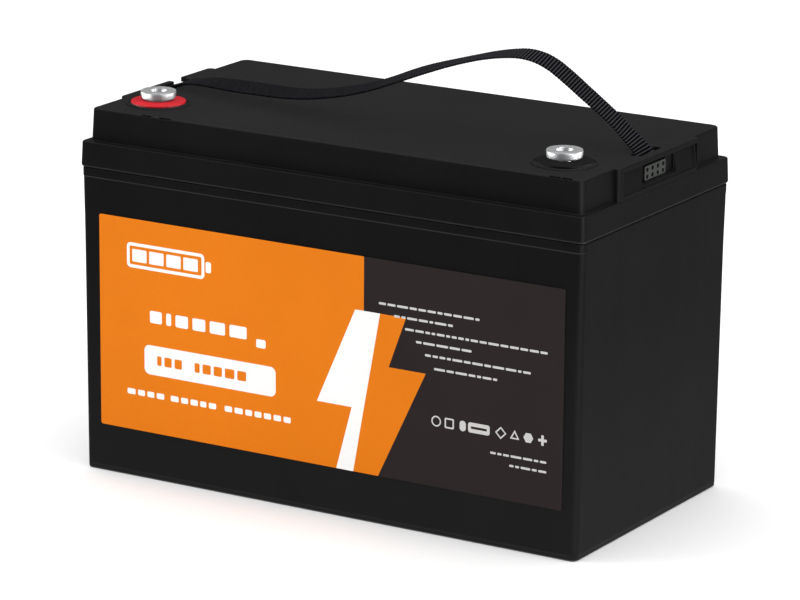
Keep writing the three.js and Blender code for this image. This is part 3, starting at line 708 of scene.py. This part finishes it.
# ------------------------------------------------------------------ carrying strap
STRAP_W, STRAP_T = 24.5, 1.5
STRAP_PATH = [
    (155.3, -0.2, 208.9, 0.0, 1.0, 0.0), (155.0, -0.4, 212.2, -0.10, 0.994, 0.04), (153.4, -0.6, 214.6, -0.19, 0.98, 0.05),
    (146.8, -2.0, 221.7, -0.264, 0.964, 0.035), (139.2, -4.3, 229.8, -0.273, 0.962, 0.012), (130.5, -6.8, 237.6, -0.27, 0.963, 0.014),
    (121.7, -9.4, 245.1, -0.267, 0.963, 0.026), (113.0, -12.1, 252.7, -0.272, 0.962, 0.036), (103.8, -15.0, 259.7, -0.279, 0.96, 0.034),
    (98.8, -16.6, 262.3, -0.279, 0.96, 0.025), (93.3, -18.2, 263.9, -0.278, 0.96, 0.015), (87.6, -19.8, 264.5, -0.264, 0.964, 0.003),
    (81.8, -21.3, 264.1, -0.247, 0.969, -0.007), (70.4, -23.9, 262.2, -0.192, 0.981, -0.014), (59.1, -25.9, 259.2, -0.138, 0.99, -0.002),
    (47.8, -27.1, 255.7, -0.101, 0.994, 0.033), (36.6, -27.9, 251.9, -0.076, 0.993, 0.086), (25.4, -28.2, 247.8, -0.052, 0.99, 0.131),
    (14.4, -28.0, 243.4, -0.025, 0.989, 0.145), (3.4, -27.4, 238.9, 0.008, 0.99, 0.14), (-7.8, -26.6, 234.9, 0.044, 0.991, 0.129),
    (-19.1, -25.5, 231.5, 0.074, 0.99, 0.12), (-30.5, -24.1, 228.7, 0.101, 0.989, 0.108), (-42.1, -22.6, 226.2, 0.127, 0.988, 0.088),
    (-53.7, -20.8, 224.3, 0.149, 0.987, 0.063), (-65.3, -18.9, 223.0, 0.164, 0.986, 0.043), (-77.0, -16.8, 222.3, 0.175, 0.984, 0.039),
    (-88.7, -14.7, 221.7, 0.186, 0.982, 0.043), (-100.3, -12.4, 221.1, 0.193, 0.98, 0.039), (-112.0, -10.1, 220.7, 0.197, 0.98, 0.02),
    (-123.6, -7.7, 220.1, 0.197, 0.98, -0.001), (-135.2, -5.4, 219.0, 0.196, 0.981, -0.007), (-145.2, -3.4, 216.5, 0.18, 0.983, 0.016),
    (-150.0, -2.2, 215.2, 0.11, 0.993, 0.02), (-152.6, -1.4, 213.4, 0.06, 0.998, 0.01), (-154.0, -0.7, 211.4, 0.05, 0.998, 0.0),
    (-154.4, -0.5, 208.9, 0.0, 1.0, 0.0),
]
path = np.array(STRAP_PATH, float)
path[:, 3:] /= np.linalg.norm(path[:, 3:], axis=1)[:, None]
chord = np.concatenate([[0], np.cumsum(np.linalg.norm(np.diff(path[:, :3], axis=0), axis=1))])


def catmull(values, knots, t):
    """Interpolates rows of values at knots with a cubic through neighbours (non-uniform)."""
    i = int(np.clip(np.searchsorted(knots, t, side="right") - 1, 0, len(knots) - 2))
    k0, k1 = knots[i], knots[i + 1]
    h = k1 - k0
    u = (t - k0) / h

    def slope(j):
        if j == 0:
            return (values[1] - values[0]) / (knots[1] - knots[0])
        if j == len(knots) - 1:
            return (values[-1] - values[-2]) / (knots[-1] - knots[-2])
        a, c = knots[j] - knots[j - 1], knots[j + 1] - knots[j]
        return ((values[j] - values[j - 1]) / a * c + (values[j + 1] - values[j]) / c * a) / (a + c)

    m0, m1 = slope(i) * h, slope(i + 1) * h
    return (
        (2 * u**3 - 3 * u**2 + 1) * values[i]
        + (u**3 - 2 * u**2 + u) * m0
        + (-2 * u**3 + 3 * u**2) * values[i + 1]
        + (u**3 - u**2) * m1
    )


dense = np.array([catmull(path, chord, t) for t in np.linspace(0, chord[-1], 1600)])
arc = np.concatenate([[0], np.cumsum(np.linalg.norm(np.diff(dense[:, :3], axis=0), axis=1))])
total = arc[-1]
PER_RIB = 8
n_rows = int(round(total / RIB * PER_RIB)) + 1
rows = np.linspace(0, total, n_rows)
samples = np.stack([np.interp(rows, arc, dense[:, k]) for k in range(6)], axis=1)
tang = np.gradient(samples[:, :3], axis=0)
tang /= np.linalg.norm(tang, axis=1)[:, None]
tang[0], tang[-1] = (0, 0, 1), (0, 0, -1)
acr = samples[:, 3:] - (samples[:, 3:] * tang).sum(1)[:, None] * tang
acr /= np.linalg.norm(acr, axis=1)[:, None]
nor = np.cross(tang, acr)
# section across the webbing: flat faces, a slightly thicker woven selvedge, round edges
COLS = 34
section = []
for side in (1, -1):
    for i in range(COLS):
        u = -1 + 2 * i / (COLS - 1)
        section.append((u * side, side))
edge_zone = 1.5
verts, uvs = [], []
half_w, half_t = STRAP_W / 2, STRAP_T / 2
for k in range(n_rows):
    s = rows[k]
    phase = TAU * s / RIB
    for u, side in section:
        y = u * (half_w - 0.12)
        d_edge = half_w - abs(y)
        round_off = 1.0 if d_edge > edge_zone else math.sqrt(max(0.0, 1 - (1 - d_edge / edge_zone) ** 2))
        body = max(0.22, 0.25 + 0.75 * round_off)
        ridge = 0.5 + 0.5 * math.cos(phase + (0 if side > 0 else math.pi))
        ridge = ridge**0.8
        selv = 1.0 if d_edge > 1.3 else 0.6
        yarn = 0.5 + 0.5 * math.cos(TAU * y / 1.15 + (math.pi if int(math.floor(s / RIB)) % 2 else 0))
        height = half_t * body - 0.44 * selv * body * (1 - ridge) - 0.06 * yarn * selv * body
        pulled = y * (1 - 0.006 * (1 - ridge))
        p = samples[k, :3] + acr[k] * pulled + nor[k] * side * height
        verts.append(tuple(p))
        uvs.append((s + (0.0 if side > 0 else RIB / 2), y + 20.0))
n = len(section)
faces = []
for k in range(n_rows - 1):
    for i in range(n):
        j = (i + 1) % n
        faces.append((k * n + i, k * n + j, (k + 1) * n + j, (k + 1) * n + i))
faces.append(tuple(range(n))[::-1])
faces.append(tuple((n_rows - 1) * n + i for i in range(n)))
me = bpy.data.meshes.new("strap_webbing")
me.from_pydata([tuple(c * MM for c in v) for v in verts], [], faces)
layer = me.uv_layers.new(name="strap")
loop_vert = np.zeros(len(me.loops), int)
me.loops.foreach_get("vertex_index", loop_vert)
uv_arr = np.array(uvs, np.float32)[loop_vert]
layer.data.foreach_set("uv", uv_arr.ravel())
bm = bmesh.new()
bm.from_mesh(me)
bmesh.ops.recalc_face_normals(bm, faces=bm.faces)
bm.to_mesh(me)
bm.free()
me.polygons.foreach_set("use_smooth", [True] * len(me.polygons))
strap = add_object("strap_webbing", me)
dress(strap, web, "webbing", None, "strap_loop", "strap_tail_left", "strap_tail_right")
strap.visible_glossy = False
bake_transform(strap)

# ------------------------------------------------------------------ strap anchors
for s, side in ((-1, "left"), (1, "right")):
    st = []
    x_in, x_out = 151.2, 162.0
    y0, y1, z0, z1 = -12.25, 12.25, 200.2, 208.6
    for t in range(0, 4):
        a = math.radians(90 * t / 3)
        d = 0.5 * (1 - math.sin(a))
        st.append((s * (x_in + 0.5 * (1 - math.cos(a))), y0 + d, y1 - d, z0 + d, z1 - d, 0.9 - 0.5 * d))
    for t in range(0, 5):
        a = math.radians(90 * t / 4)
        d = 0.5 * (1 - math.cos(a))
        st.append((s * (x_out - 0.5 + 0.5 * math.sin(a)), y0 + d, y1 - d, z0 + d, z1 - d, 0.9 - 0.5 * d))
    block = box_loft("strap_block_" + side, "x", st)
    for z in (202.4, 206.2):
        for y in (-9.3, -3.1, 3.1, 9.3):
            st = [(s * 158.6, y - 1.15, y + 1.15, z - 0.95, z + 0.95, 0.5), (s * 161.75, y - 1.15, y + 1.15, z - 0.95, z + 0.95, 0.5)]
            st += [(s * 162.02, y - 1.35, y + 1.35, z - 1.12, z + 1.12, 0.6), (s * 162.6, y - 1.35, y + 1.35, z - 1.12, z + 1.12, 0.6)]
            boolean(block, box_loft("hole", "x", st), "DIFFERENCE")
    settle(block, 34, dissolve=0.4)
    dress(block, anchor_mat, "anchor_plastic", "strap_ends", "strap_anchor_" + side)

# ------------------------------------------------------------------ front label: one film, its print divided into regions
LX0, LX1, LZ0, LZ1, FILM = -151.6, 154.2, 28.6, 154.2, 0.4
shapes = []  # (points, ink index); later ones lie on top
ORANGE, DARK, WHITE, GREY = 0, 1, 2, 3


def rounded(x0, x1, z0, z1, r, steps=6):
    return [(px, pz) for px, pz, _ in outline((x1 - x0) / 2, (z1 - z0) / 2, min(r, (x1 - x0) / 2 - 1e-3, (z1 - z0) / 2 - 1e-3), 0, steps, (x0 + x1) / 2, (z0 + z1) / 2)]


def disc(x, z, r, sides=28, rot=0.0):
    return [(x + r * math.cos(TAU * i / sides + rot), z + r * math.sin(TAU * i / sides + rot)) for i in range(sides)]


SPLIT = 26.6
shapes.append((rounded(LX0, LX1, LZ0, LZ1, 1.2), DARK))
shapes.append(([(LX0 + 0.001, LZ0 + 1.2), (LX0 + 0.35, LZ0 + 0.36), (LX0 + 1.2, LZ0 + 0.001), (SPLIT, LZ0 + 0.001), (SPLIT, LZ1 - 0.001), (LX0 + 1.2, LZ1 - 0.001), (LX0 + 0.35, LZ1 - 0.36), (LX0 + 0.001, LZ1 - 1.2)], ORANGE))
# battery pictogram: a case outline, its terminal and four charge bars
shapes.append((rounded(-132.6, -79.5, 125.4, 140.2, 2.6), WHITE))
shapes.append((rounded(-130.7, -81.4, 127.3, 138.3, 1.2), ORANGE))
for k in range(4):
    x = -128.9 + k * 11.7
    shapes.append((rounded(x, x + 9.9, 129.1, 136.5, 0.7), WHITE))
shapes.append((rounded(-78.6, -75.0, 129.6, 136.0, 1.0), WHITE))
# heading blocks and their small companion
x = -117.0
for w in (8.2, 3.4, 8.6, 8.8, 10.4, 11.6):
    shapes.append((rounded(x, x + w, 94.4, 101.6, 1.1), WHITE))
    x += w + 3.0
shapes.append((rounded(-44.6, -38.2, 90.9, 95.9, 1.1), WHITE))
# rounded badge with two groups of blocks in it
shapes.append((rounded(-121.0, -31.5, 63.5, 81.0, 3.6), WHITE))
for x, ws in ((-112.2, (3.0, 5.0, 5.0)), (-86.4, (3.4, 5.6, 5.6, 6.4, 6.0))):
    for w in ws:
        shapes.append((rounded(x, x + w, 69.6, 75.2, 0.8), ORANGE))
        x += w + 2.0
# three rows of short bars
for x, ws in ((-133.0, (5.6, 4.8, 4.8, 5.2)), (-103.0, (5.4, 4.8, 5.0, 4.2, 5.0)), (-66.0, (5.0, 5.6, 4.6, 4.6, 4.8, 5.0, 4.8))):
    for w in ws:
        shapes.append((rounded(x, x + w, 49.7, 53.1, 0.8), WHITE))
        x += w + 1.7
# lightning bolt in two tones
bolt_left = [(21.0, 123.0), (37.2, 123.0), (31.6, 92.0), (25.2, 57.0), (20.2, LZ0 + 0.002), (9.0, LZ0 + 0.002), (19.0, 66.0), (-4.0, 66.0)]
bolt_right = [(37.2, 123.0), (54.0, 123.0), (43.0, 93.0), (67.0, 93.0), (36.5, LZ0 + 0.002), (20.2, LZ0 + 0.002), (25.2, 57.0), (31.6, 92.0)]
shapes.append((bolt_left, WHITE))
shapes.append((bolt_right, ORANGE))
# rows of small bars on the dark half
text_rng = random.Random(11)


def bar_row(x0, x1, z, h, ink, lo=3.0, hi=10.5, gap=1.15, align="left"):
    x = x0
    while x < x1 - 1.2:
        w = text_rng.uniform(lo, hi)
        end = min(x + w, x1)
        if x1 - end < 2.0:
            end = x1
        shapes.append((rounded(x, end, z - h / 2, z + h / 2, h * 0.32, 3), ink))
        x = end + gap


for x0, x1, z in ((36.4, 103.0, 129.0), (46.2, 84.0, 123.0), (53.4, 143.8, 116.6), (60.5, 96.0, 110.3), (66.4, 133.5, 103.7), (72.3, 112.5, 96.6)):
    bar_row(x0, x1, z, 1.35, GREY, 2.2, 7.5, 1.0)
bar_row(108.7, 144.1, 54.5, 1.3, GREY, 2.2, 7.0, 1.0)
bar_row(120.9, 144.2, 49.0, 1.3, GREY, 2.2, 7.0, 1.0)
# plain geometric marks
zc = 66.8
shapes.append((disc(74.0, zc, 3.1), GREY))
shapes.append((disc(74.0, zc, 2.3), DARK))
shapes.append((rounded(79.4, 85.4, zc - 3.0, zc + 3.0, 0.8), GREY))
shapes.append((rounded(80.3, 84.5, zc - 2.1, zc + 2.1, 0.4), DARK))
shapes.append((rounded(89.0, 93.0, zc - 3.0, zc + 3.0, 1.9), GREY))
shapes.append((rounded(94.4, 108.2, zc - 2.9, zc + 2.9, 1.4), GREY))
shapes.append((rounded(96.2, 106.4, zc - 0.7, zc + 0.7, 0.5), DARK))
shapes.append((disc(115.2, zc, 3.6, 4, 0.0), GREY))
shapes.append((disc(115.2, zc, 2.5, 4, 0.0), DARK))
shapes.append((disc(124.0, zc - 0.4, 3.5, 3, math.pi / 2), GREY))
shapes.append((disc(124.0, zc - 0.4, 1.9, 3, math.pi / 2), DARK))
shapes.append((disc(132.6, zc, 3.1, 6, 0.0), GREY))
shapes.append((rounded(138.8, 144.2, zc - 0.8, zc + 0.8, 0.4), GREY))
shapes.append((rounded(140.7, 142.3, zc - 3.0, zc + 3.0, 0.4), GREY))

pts2, faces2 = [], []
for pts, ink in shapes:
    if sum(p[0] * q[1] - q[0] * p[1] for p, q in zip(pts, pts[1:] + pts[:1])) < 0:
        pts = pts[::-1]
    start = len(pts2)
    pts2.extend(Vector(p) for p in pts)
    faces2.append(list(range(start, start + len(pts))))
cv, ce, cf, _, _, orig = delaunay_2d_cdt(pts2, [], faces2, 1, 1e-5, True)
inks = [shapes[max(o)][1] if o else DARK for o in orig]


def film_y(z, depth):
    return -(TUB_BOTTOM[1] + SLOPE * (z - FOOT_H - 0.4)) - 0.05 - depth


bm = bmesh.new()
front = [bm.verts.new((v.x * MM, film_y(v.y, FILM) * MM, v.y * MM)) for v in cv]
for tri, ink in zip(cf, inks):
    f = bm.faces.new([front[i] for i in tri])
    f.material_index = ink
bm.normal_update()
for f in bm.faces:
    if f.normal.y > 0:
        f.normal_flip()
rim = [e for e in bm.edges if len(e.link_faces) == 1]
rim_ink = {frozenset(e.verts): e.link_faces[0].material_index for e in rim}
# side walls and the back, from the border outwards in
border = {}
for e in rim:
    a, c = e.verts
    border.setdefault(a, []).append(c)
    border.setdefault(c, []).append(a)
start = rim[0].verts[0]
order, prev = [start], None
while True:
    nxt = [v for v in border[order[-1]] if v is not prev]
    cand = nxt[0]
    prev = order[-1]
    if cand is start:
        break
    order.append(cand)
rear = [bm.verts.new((v.co.x, v.co.y + FILM * MM, v.co.z)) for v in order]
for i in range(len(order)):
    j = (i + 1) % len(order)
    f = bm.faces.new([order[i], order[j], rear[j], rear[i]])
    f.material_index = rim_ink[frozenset((order[i], order[j]))]
f = bm.faces.new(rear)
f.material_index = 4
bmesh.ops.recalc_face_normals(bm, faces=bm.faces)
me = bpy.data.meshes.new("front_label_print")
bm.to_mesh(me)
bm.free()
label = add_object("front_label_print", me)
dress(label, [ink_orange, ink_dark, ink_white, ink_grey, film_edge], "label_film", "case", "front_label")


# ------------------------------------------------------------------ materials of the inside
def brushed(name, base, rough, direction=(1.0, 40.0, 40.0), var=0.18):
    m = Mat(name, base, rough, 1.0)
    streak = m.noise(30.0, 4, 0.6, m.scaled(*direction))
    m.link(m.ramp(streak, (0.25, tuple(c * (1 - var) for c in base)), (0.75, tuple(min(1, c * (1 + var)) for c in base))), "Base Color")
    m.link(m.span(streak, rough - 0.08, rough + 0.12, 0.3, 0.7), "Roughness")
    m.bump(streak, 0.2, 0.00004)
    return m


def weave(name, base, rough, pitch):
    m = Mat(name, base, rough, 0.0, 0.4)
    a = m.wave(1.0 / pitch / 6.2832 * 6.2832, direction="X")
    c = m.wave(1.0 / pitch / 6.2832 * 6.2832, direction="Y")
    w = m.math("MULTIPLY", a, c)
    m.link(m.ramp(w, (0.1, tuple(c2 * 0.8 for c2 in base)), (0.9, tuple(min(1, c2 * 1.15) for c2 in base))), "Base Color")
    m.link(m.span(m.noise(90.0), rough - 0.06, rough + 0.08, 0.3, 0.7), "Roughness")
    m.bump(w, 0.25, 0.00006)
    return m


def cellular(name, base, scale):
    m = Mat(name, base, 0.92, 0.0, 0.2)
    v = m.voronoi(scale)
    m.link(m.ramp(v, (0.1, tuple(c * 0.6 for c in base)), (0.7, tuple(min(1, c * 1.4) for c in base))), "Base Color")
    m.link(m.span(m.noise(200.0), 0.85, 0.97, 0.3, 0.7), "Roughness")
    m.bump(v, 0.6, 0.0003)
    return m


def soft_sleeve(name, base):
    m = Mat(name, base, 0.45, 0.0, 0.45)
    m.link(m.ramp(m.noise(150.0, 3), (0.3, tuple(c * 0.85 for c in base)), (0.7, tuple(min(1, c * 1.2) for c in base))), "Base Color")
    m.link(m.span(m.noise(300.0, 3), 0.38, 0.55, 0.3, 0.7), "Roughness")
    m.bump(m.noise(900.0, 2), 0.15, 0.00005)
    return m


def board(name, base, track):
    m = Mat(name, base, 0.35, 0.0, 0.5)
    grid = m.voronoi(130.0, "DISTANCE_TO_EDGE", m.scaled(1, 1, 0.001), 0.55)
    on = m.math("LESS_THAN", grid, 0.06)
    m.link(m.mix(on, m.ramp(m.noise(60.0), (0.3, tuple(c * 0.85 for c in base)), (0.7, tuple(c * 1.2 for c in base))), track), "Base Color")
    m.link(m.span(m.noise(400.0), 0.28, 0.45, 0.3, 0.7), "Roughness")
    m.bump(on, 0.3, 0.00004)
    return m


cell_wrap = Mat("cell_wrap_blue", (0.03, 0.11, 0.38), 0.32, 0.0, 0.5)
wr = cell_wrap.noise(14.0, 3, 0.5, cell_wrap.scaled(1, 1, 0.25))
cell_wrap.link(cell_wrap.ramp(wr, (0.3, (0.024, 0.092, 0.33)), (0.7, (0.036, 0.125, 0.42))), "Base Color")
cell_wrap.link(cell_wrap.span(cell_wrap.noise(60.0, 4), 0.25, 0.42, 0.3, 0.7), "Roughness")
cell_wrap.bump(wr, 0.3, 0.0006)
cell_wrap.bump(cell_wrap.noise(700.0, 2), 0.1, 0.00004)

inner = {
    "cell_can": cell_wrap,
    "seal_rubber": soft_sleeve("seal_rubber_black", (0.01, 0.01, 0.01)),
    "adhesive": gloss_plastic("adhesive_bead", (0.07, 0.07, 0.065), 0.6, 0.3, 0.2, 0.4),
    "zinc_steel": brushed("zinc_plate", (0.52, 0.53, 0.54), 0.3, (1.0, 1.0, 30.0)),
    "sheet_epoxy": weave("glass_sheet", (0.58, 0.39, 0.14), 0.5, 0.0016),
    "plate_aluminium": brushed("plate_brushed", (0.55, 0.57, 0.58), 0.36, (40.0, 1.0, 40.0)),
    "band_steel": brushed("band_rolled", (0.38, 0.39, 0.4), 0.34, (1.0, 1.0, 40.0)),
    "foam": cellular("foam_cells", (0.022, 0.022, 0.024), 900.0),
    "copper": brushed("copper_bar", (0.72, 0.30, 0.14), 0.28),
    "board_green": board("board_mask_green", (0.010, 0.085, 0.042), (0.03, 0.16, 0.08)),
    "carrier": weave("carrier_laminate", (0.08, 0.20, 0.08), 0.5, 0.0014),
    "transistor": gloss_plastic("moulded_epoxy", (0.012, 0.012, 0.013), 0.5, 0.4, 0.2, 0.3),
    "connector_white": gloss_plastic("connector_nylon", (0.82, 0.79, 0.70), 0.4),
    "standoff_nylon": gloss_plastic("standoff_nylon_fine", (0.69, 0.67, 0.60), 0.45),
    "cable_red": soft_sleeve("sleeve_red", (0.42, 0.012, 0.012)),
    "cable_black": soft_sleeve("sleeve_black", (0.012, 0.012, 0.012)),
}
slot_of = {row["node"]: row["material_slot"] for row in frame["record"]["subparts"]}
for name, obj in nodes.items():
    if obj.hide_render:
        continue
    mat = inner[slot_of[name]]
    obj.data.materials.clear()
    obj.data.materials.append(mat.m)
    obj.data.polygons.foreach_set("use_smooth", [True] * len(obj.data.polygons))
    obj.data.set_sharp_from_angle(angle=math.radians(32))

# ------------------------------------------------------------------ stage
floor_mat = Mat("floor_paper", (0.92, 0.92, 0.92), 0.95, 0.0, 0.0)
floor_mat.link(floor_mat.ramp(floor_mat.noise(3.0, 4, 0.6), (0.3, (0.915, 0.915, 0.915)), (0.7, (0.93, 0.93, 0.93))), "Base Color")
me = bpy.data.meshes.new("floor")
R, K = 9.0, 96
vs = [(0, 0, 0)] + [(R * math.cos(TAU * i / K), R * math.sin(TAU * i / K), 0) for i in range(K)]
me.from_pydata(vs, [], [(0, 1 + i, 1 + (i + 1) % K) for i in range(K)])
floor = add_object("floor", me)
floor.data.materials.append(floor_mat.m)
floor.visible_glossy = False
# pale dome seen only by the camera, so low views keep a pale background
dome_mat = bpy.data.materials.new("dome_pale")
dome_mat.use_nodes = True
dt = dome_mat.node_tree
dt.nodes.clear()
em = dt.nodes.new("ShaderNodeEmission")
em.inputs["Color"].default_value = (1, 1, 1, 1)
em.inputs["Strength"].default_value = 0.93
do = dt.nodes.new("ShaderNodeOutputMaterial")
dt.links.new(em.outputs[0], do.inputs[0])
dv, dfc = [], []
DL = 24
for i in range(DL + 1):
    e = math.radians(-2 + 92 * i / DL)
    for j in range(K):
        a = TAU * j / K
        dv.append((R * math.cos(e) * math.cos(a), R * math.cos(e) * math.sin(a), R * math.sin(e)))
for i in range(DL):
    for j in range(K):
        j2 = (j + 1) % K
        dfc.append((i * K + j, i * K + j2, (i + 1) * K + j2, (i + 1) * K + j))
me = bpy.data.meshes.new("dome")
me.from_pydata(dv, [], dfc)
dome = add_object("dome", me)
dome.data.materials.append(dome_mat)
for flag in ("visible_diffuse", "visible_glossy", "visible_transmission", "visible_volume_scatter", "visible_shadow"):
    setattr(dome, flag, False)

world = bpy.data.worlds.new("studio")
scene.world = world
world.use_nodes = True
wt = world.node_tree
wt.nodes.clear()
wo = wt.nodes.new("ShaderNodeOutputWorld")
bg = wt.nodes.new("ShaderNodeBackground")
tc = wt.nodes.new("ShaderNodeTexCoord")
sx = wt.nodes.new("ShaderNodeSeparateXYZ")
rp = wt.nodes.new("ShaderNodeValToRGB")
wt.links.new(tc.outputs["Generated"], sx.inputs[0])
half = wt.nodes.new("ShaderNodeMath")
half.operation = "MULTIPLY_ADD"
half.inputs[1].default_value = 0.5
half.inputs[2].default_value = 0.5
wt.links.new(sx.outputs["Z"], half.inputs[0])
wt.links.new(half.outputs[0], rp.inputs["Fac"])
els = rp.color_ramp.elements
sky = (  # (sine of the elevation, brightness)
    (-1.0, 1.3), (-0.78, 1.0), (-0.52, 0.18), (-0.2, 0.09), (0.0, 0.04), (0.2, 0.035), (0.5, 0.08), (0.8, 0.38), (1.0, 0.6),
)
while len(els) < len(sky):
    els.new(0.5)
for k, (at, v) in enumerate(sky):
    els[k].position = at * 0.5 + 0.5
    els[k].color = (v, v, v, 1)
wt.links.new(rp.outputs["Color"], bg.inputs["Color"])
depth = wt.nodes.new("ShaderNodeMapRange")
depth.inputs["From Min"].default_value, depth.inputs["From Max"].default_value = -0.85, 0.85
depth.inputs["To Min"].default_value, depth.inputs["To Max"].default_value = 0.45, 1.55
wt.links.new(sx.outputs["Y"], depth.inputs["Value"])
wt.links.new(depth.outputs[0], bg.inputs["Strength"])
wt.links.new(bg.outputs[0], wo.inputs[0])


def area(name, az, el, dist, w, h, power, target=(0, 0, 0.12)):
    data = bpy.data.lights.new(name, "AREA")
    data.shape = "RECTANGLE"
    data.size, data.size_y = w, h
    data.energy = power
    obj = bpy.data.objects.new(name, data)
    scene.collection.objects.link(obj)
    a, e = math.radians(az), math.radians(el)
    d = Vector((math.sin(a) * math.cos(e), -math.cos(a) * math.cos(e), math.sin(e)))
    obj.location = Vector(target) + d * dist
    obj.rotation_euler = d.to_track_quat("Z", "Y").to_euler()
    return obj


sun = bpy.data.lights.new("overhead", "SUN")
sun.energy = 2.9
sun.angle = math.radians(150)
sun_obj = bpy.data.objects.new("overhead", sun)
scene.collection.objects.link(sun_obj)
sun_obj.rotation_euler = (math.radians(6), math.radians(-5), 0)
sun_obj.visible_glossy = False
for soft in (area("key_left", -52, 34, 1.6, 0.7, 0.7, 6), area("fill_right", 88, 30, 1.6, 0.8, 0.9, 7)):
    soft.visible_glossy = False
    soft.visible_camera = False
# wide low strips for the metal; the case does not shade them
unshaded = bpy.data.collections.new("strip_blockers")
unshaded.objects.link(dome)
shiny = bpy.data.collections.new("shiny_parts")
for obj in scene.objects:
    if obj.name.startswith(("terminal_head", "terminal_ring")):
        shiny.objects.link(obj)
for strip in (
    area("strip_left", -60, -12, 1.0, 1.6, 0.45, 6.5, (0, 0, 0.22)),
    area("strip_right", 110, -12, 1.0, 1.6, 0.45, 6.5, (0, 0, 0.22)),
):
    strip.visible_diffuse = False
    strip.visible_camera = False
    strip.light_linking.receiver_collection = shiny
    strip.light_linking.blocker_collection = unshaded
    strip.data.cycles.use_multiple_importance_sampling = False
# a low strip ahead that shows in the rounded corners
corner = area("strip_corner", 62, 7, 1.6, 0.8, 0.3, 3.3, (0, 0, 0.12))
corner.visible_diffuse = False
corner.visible_camera = False
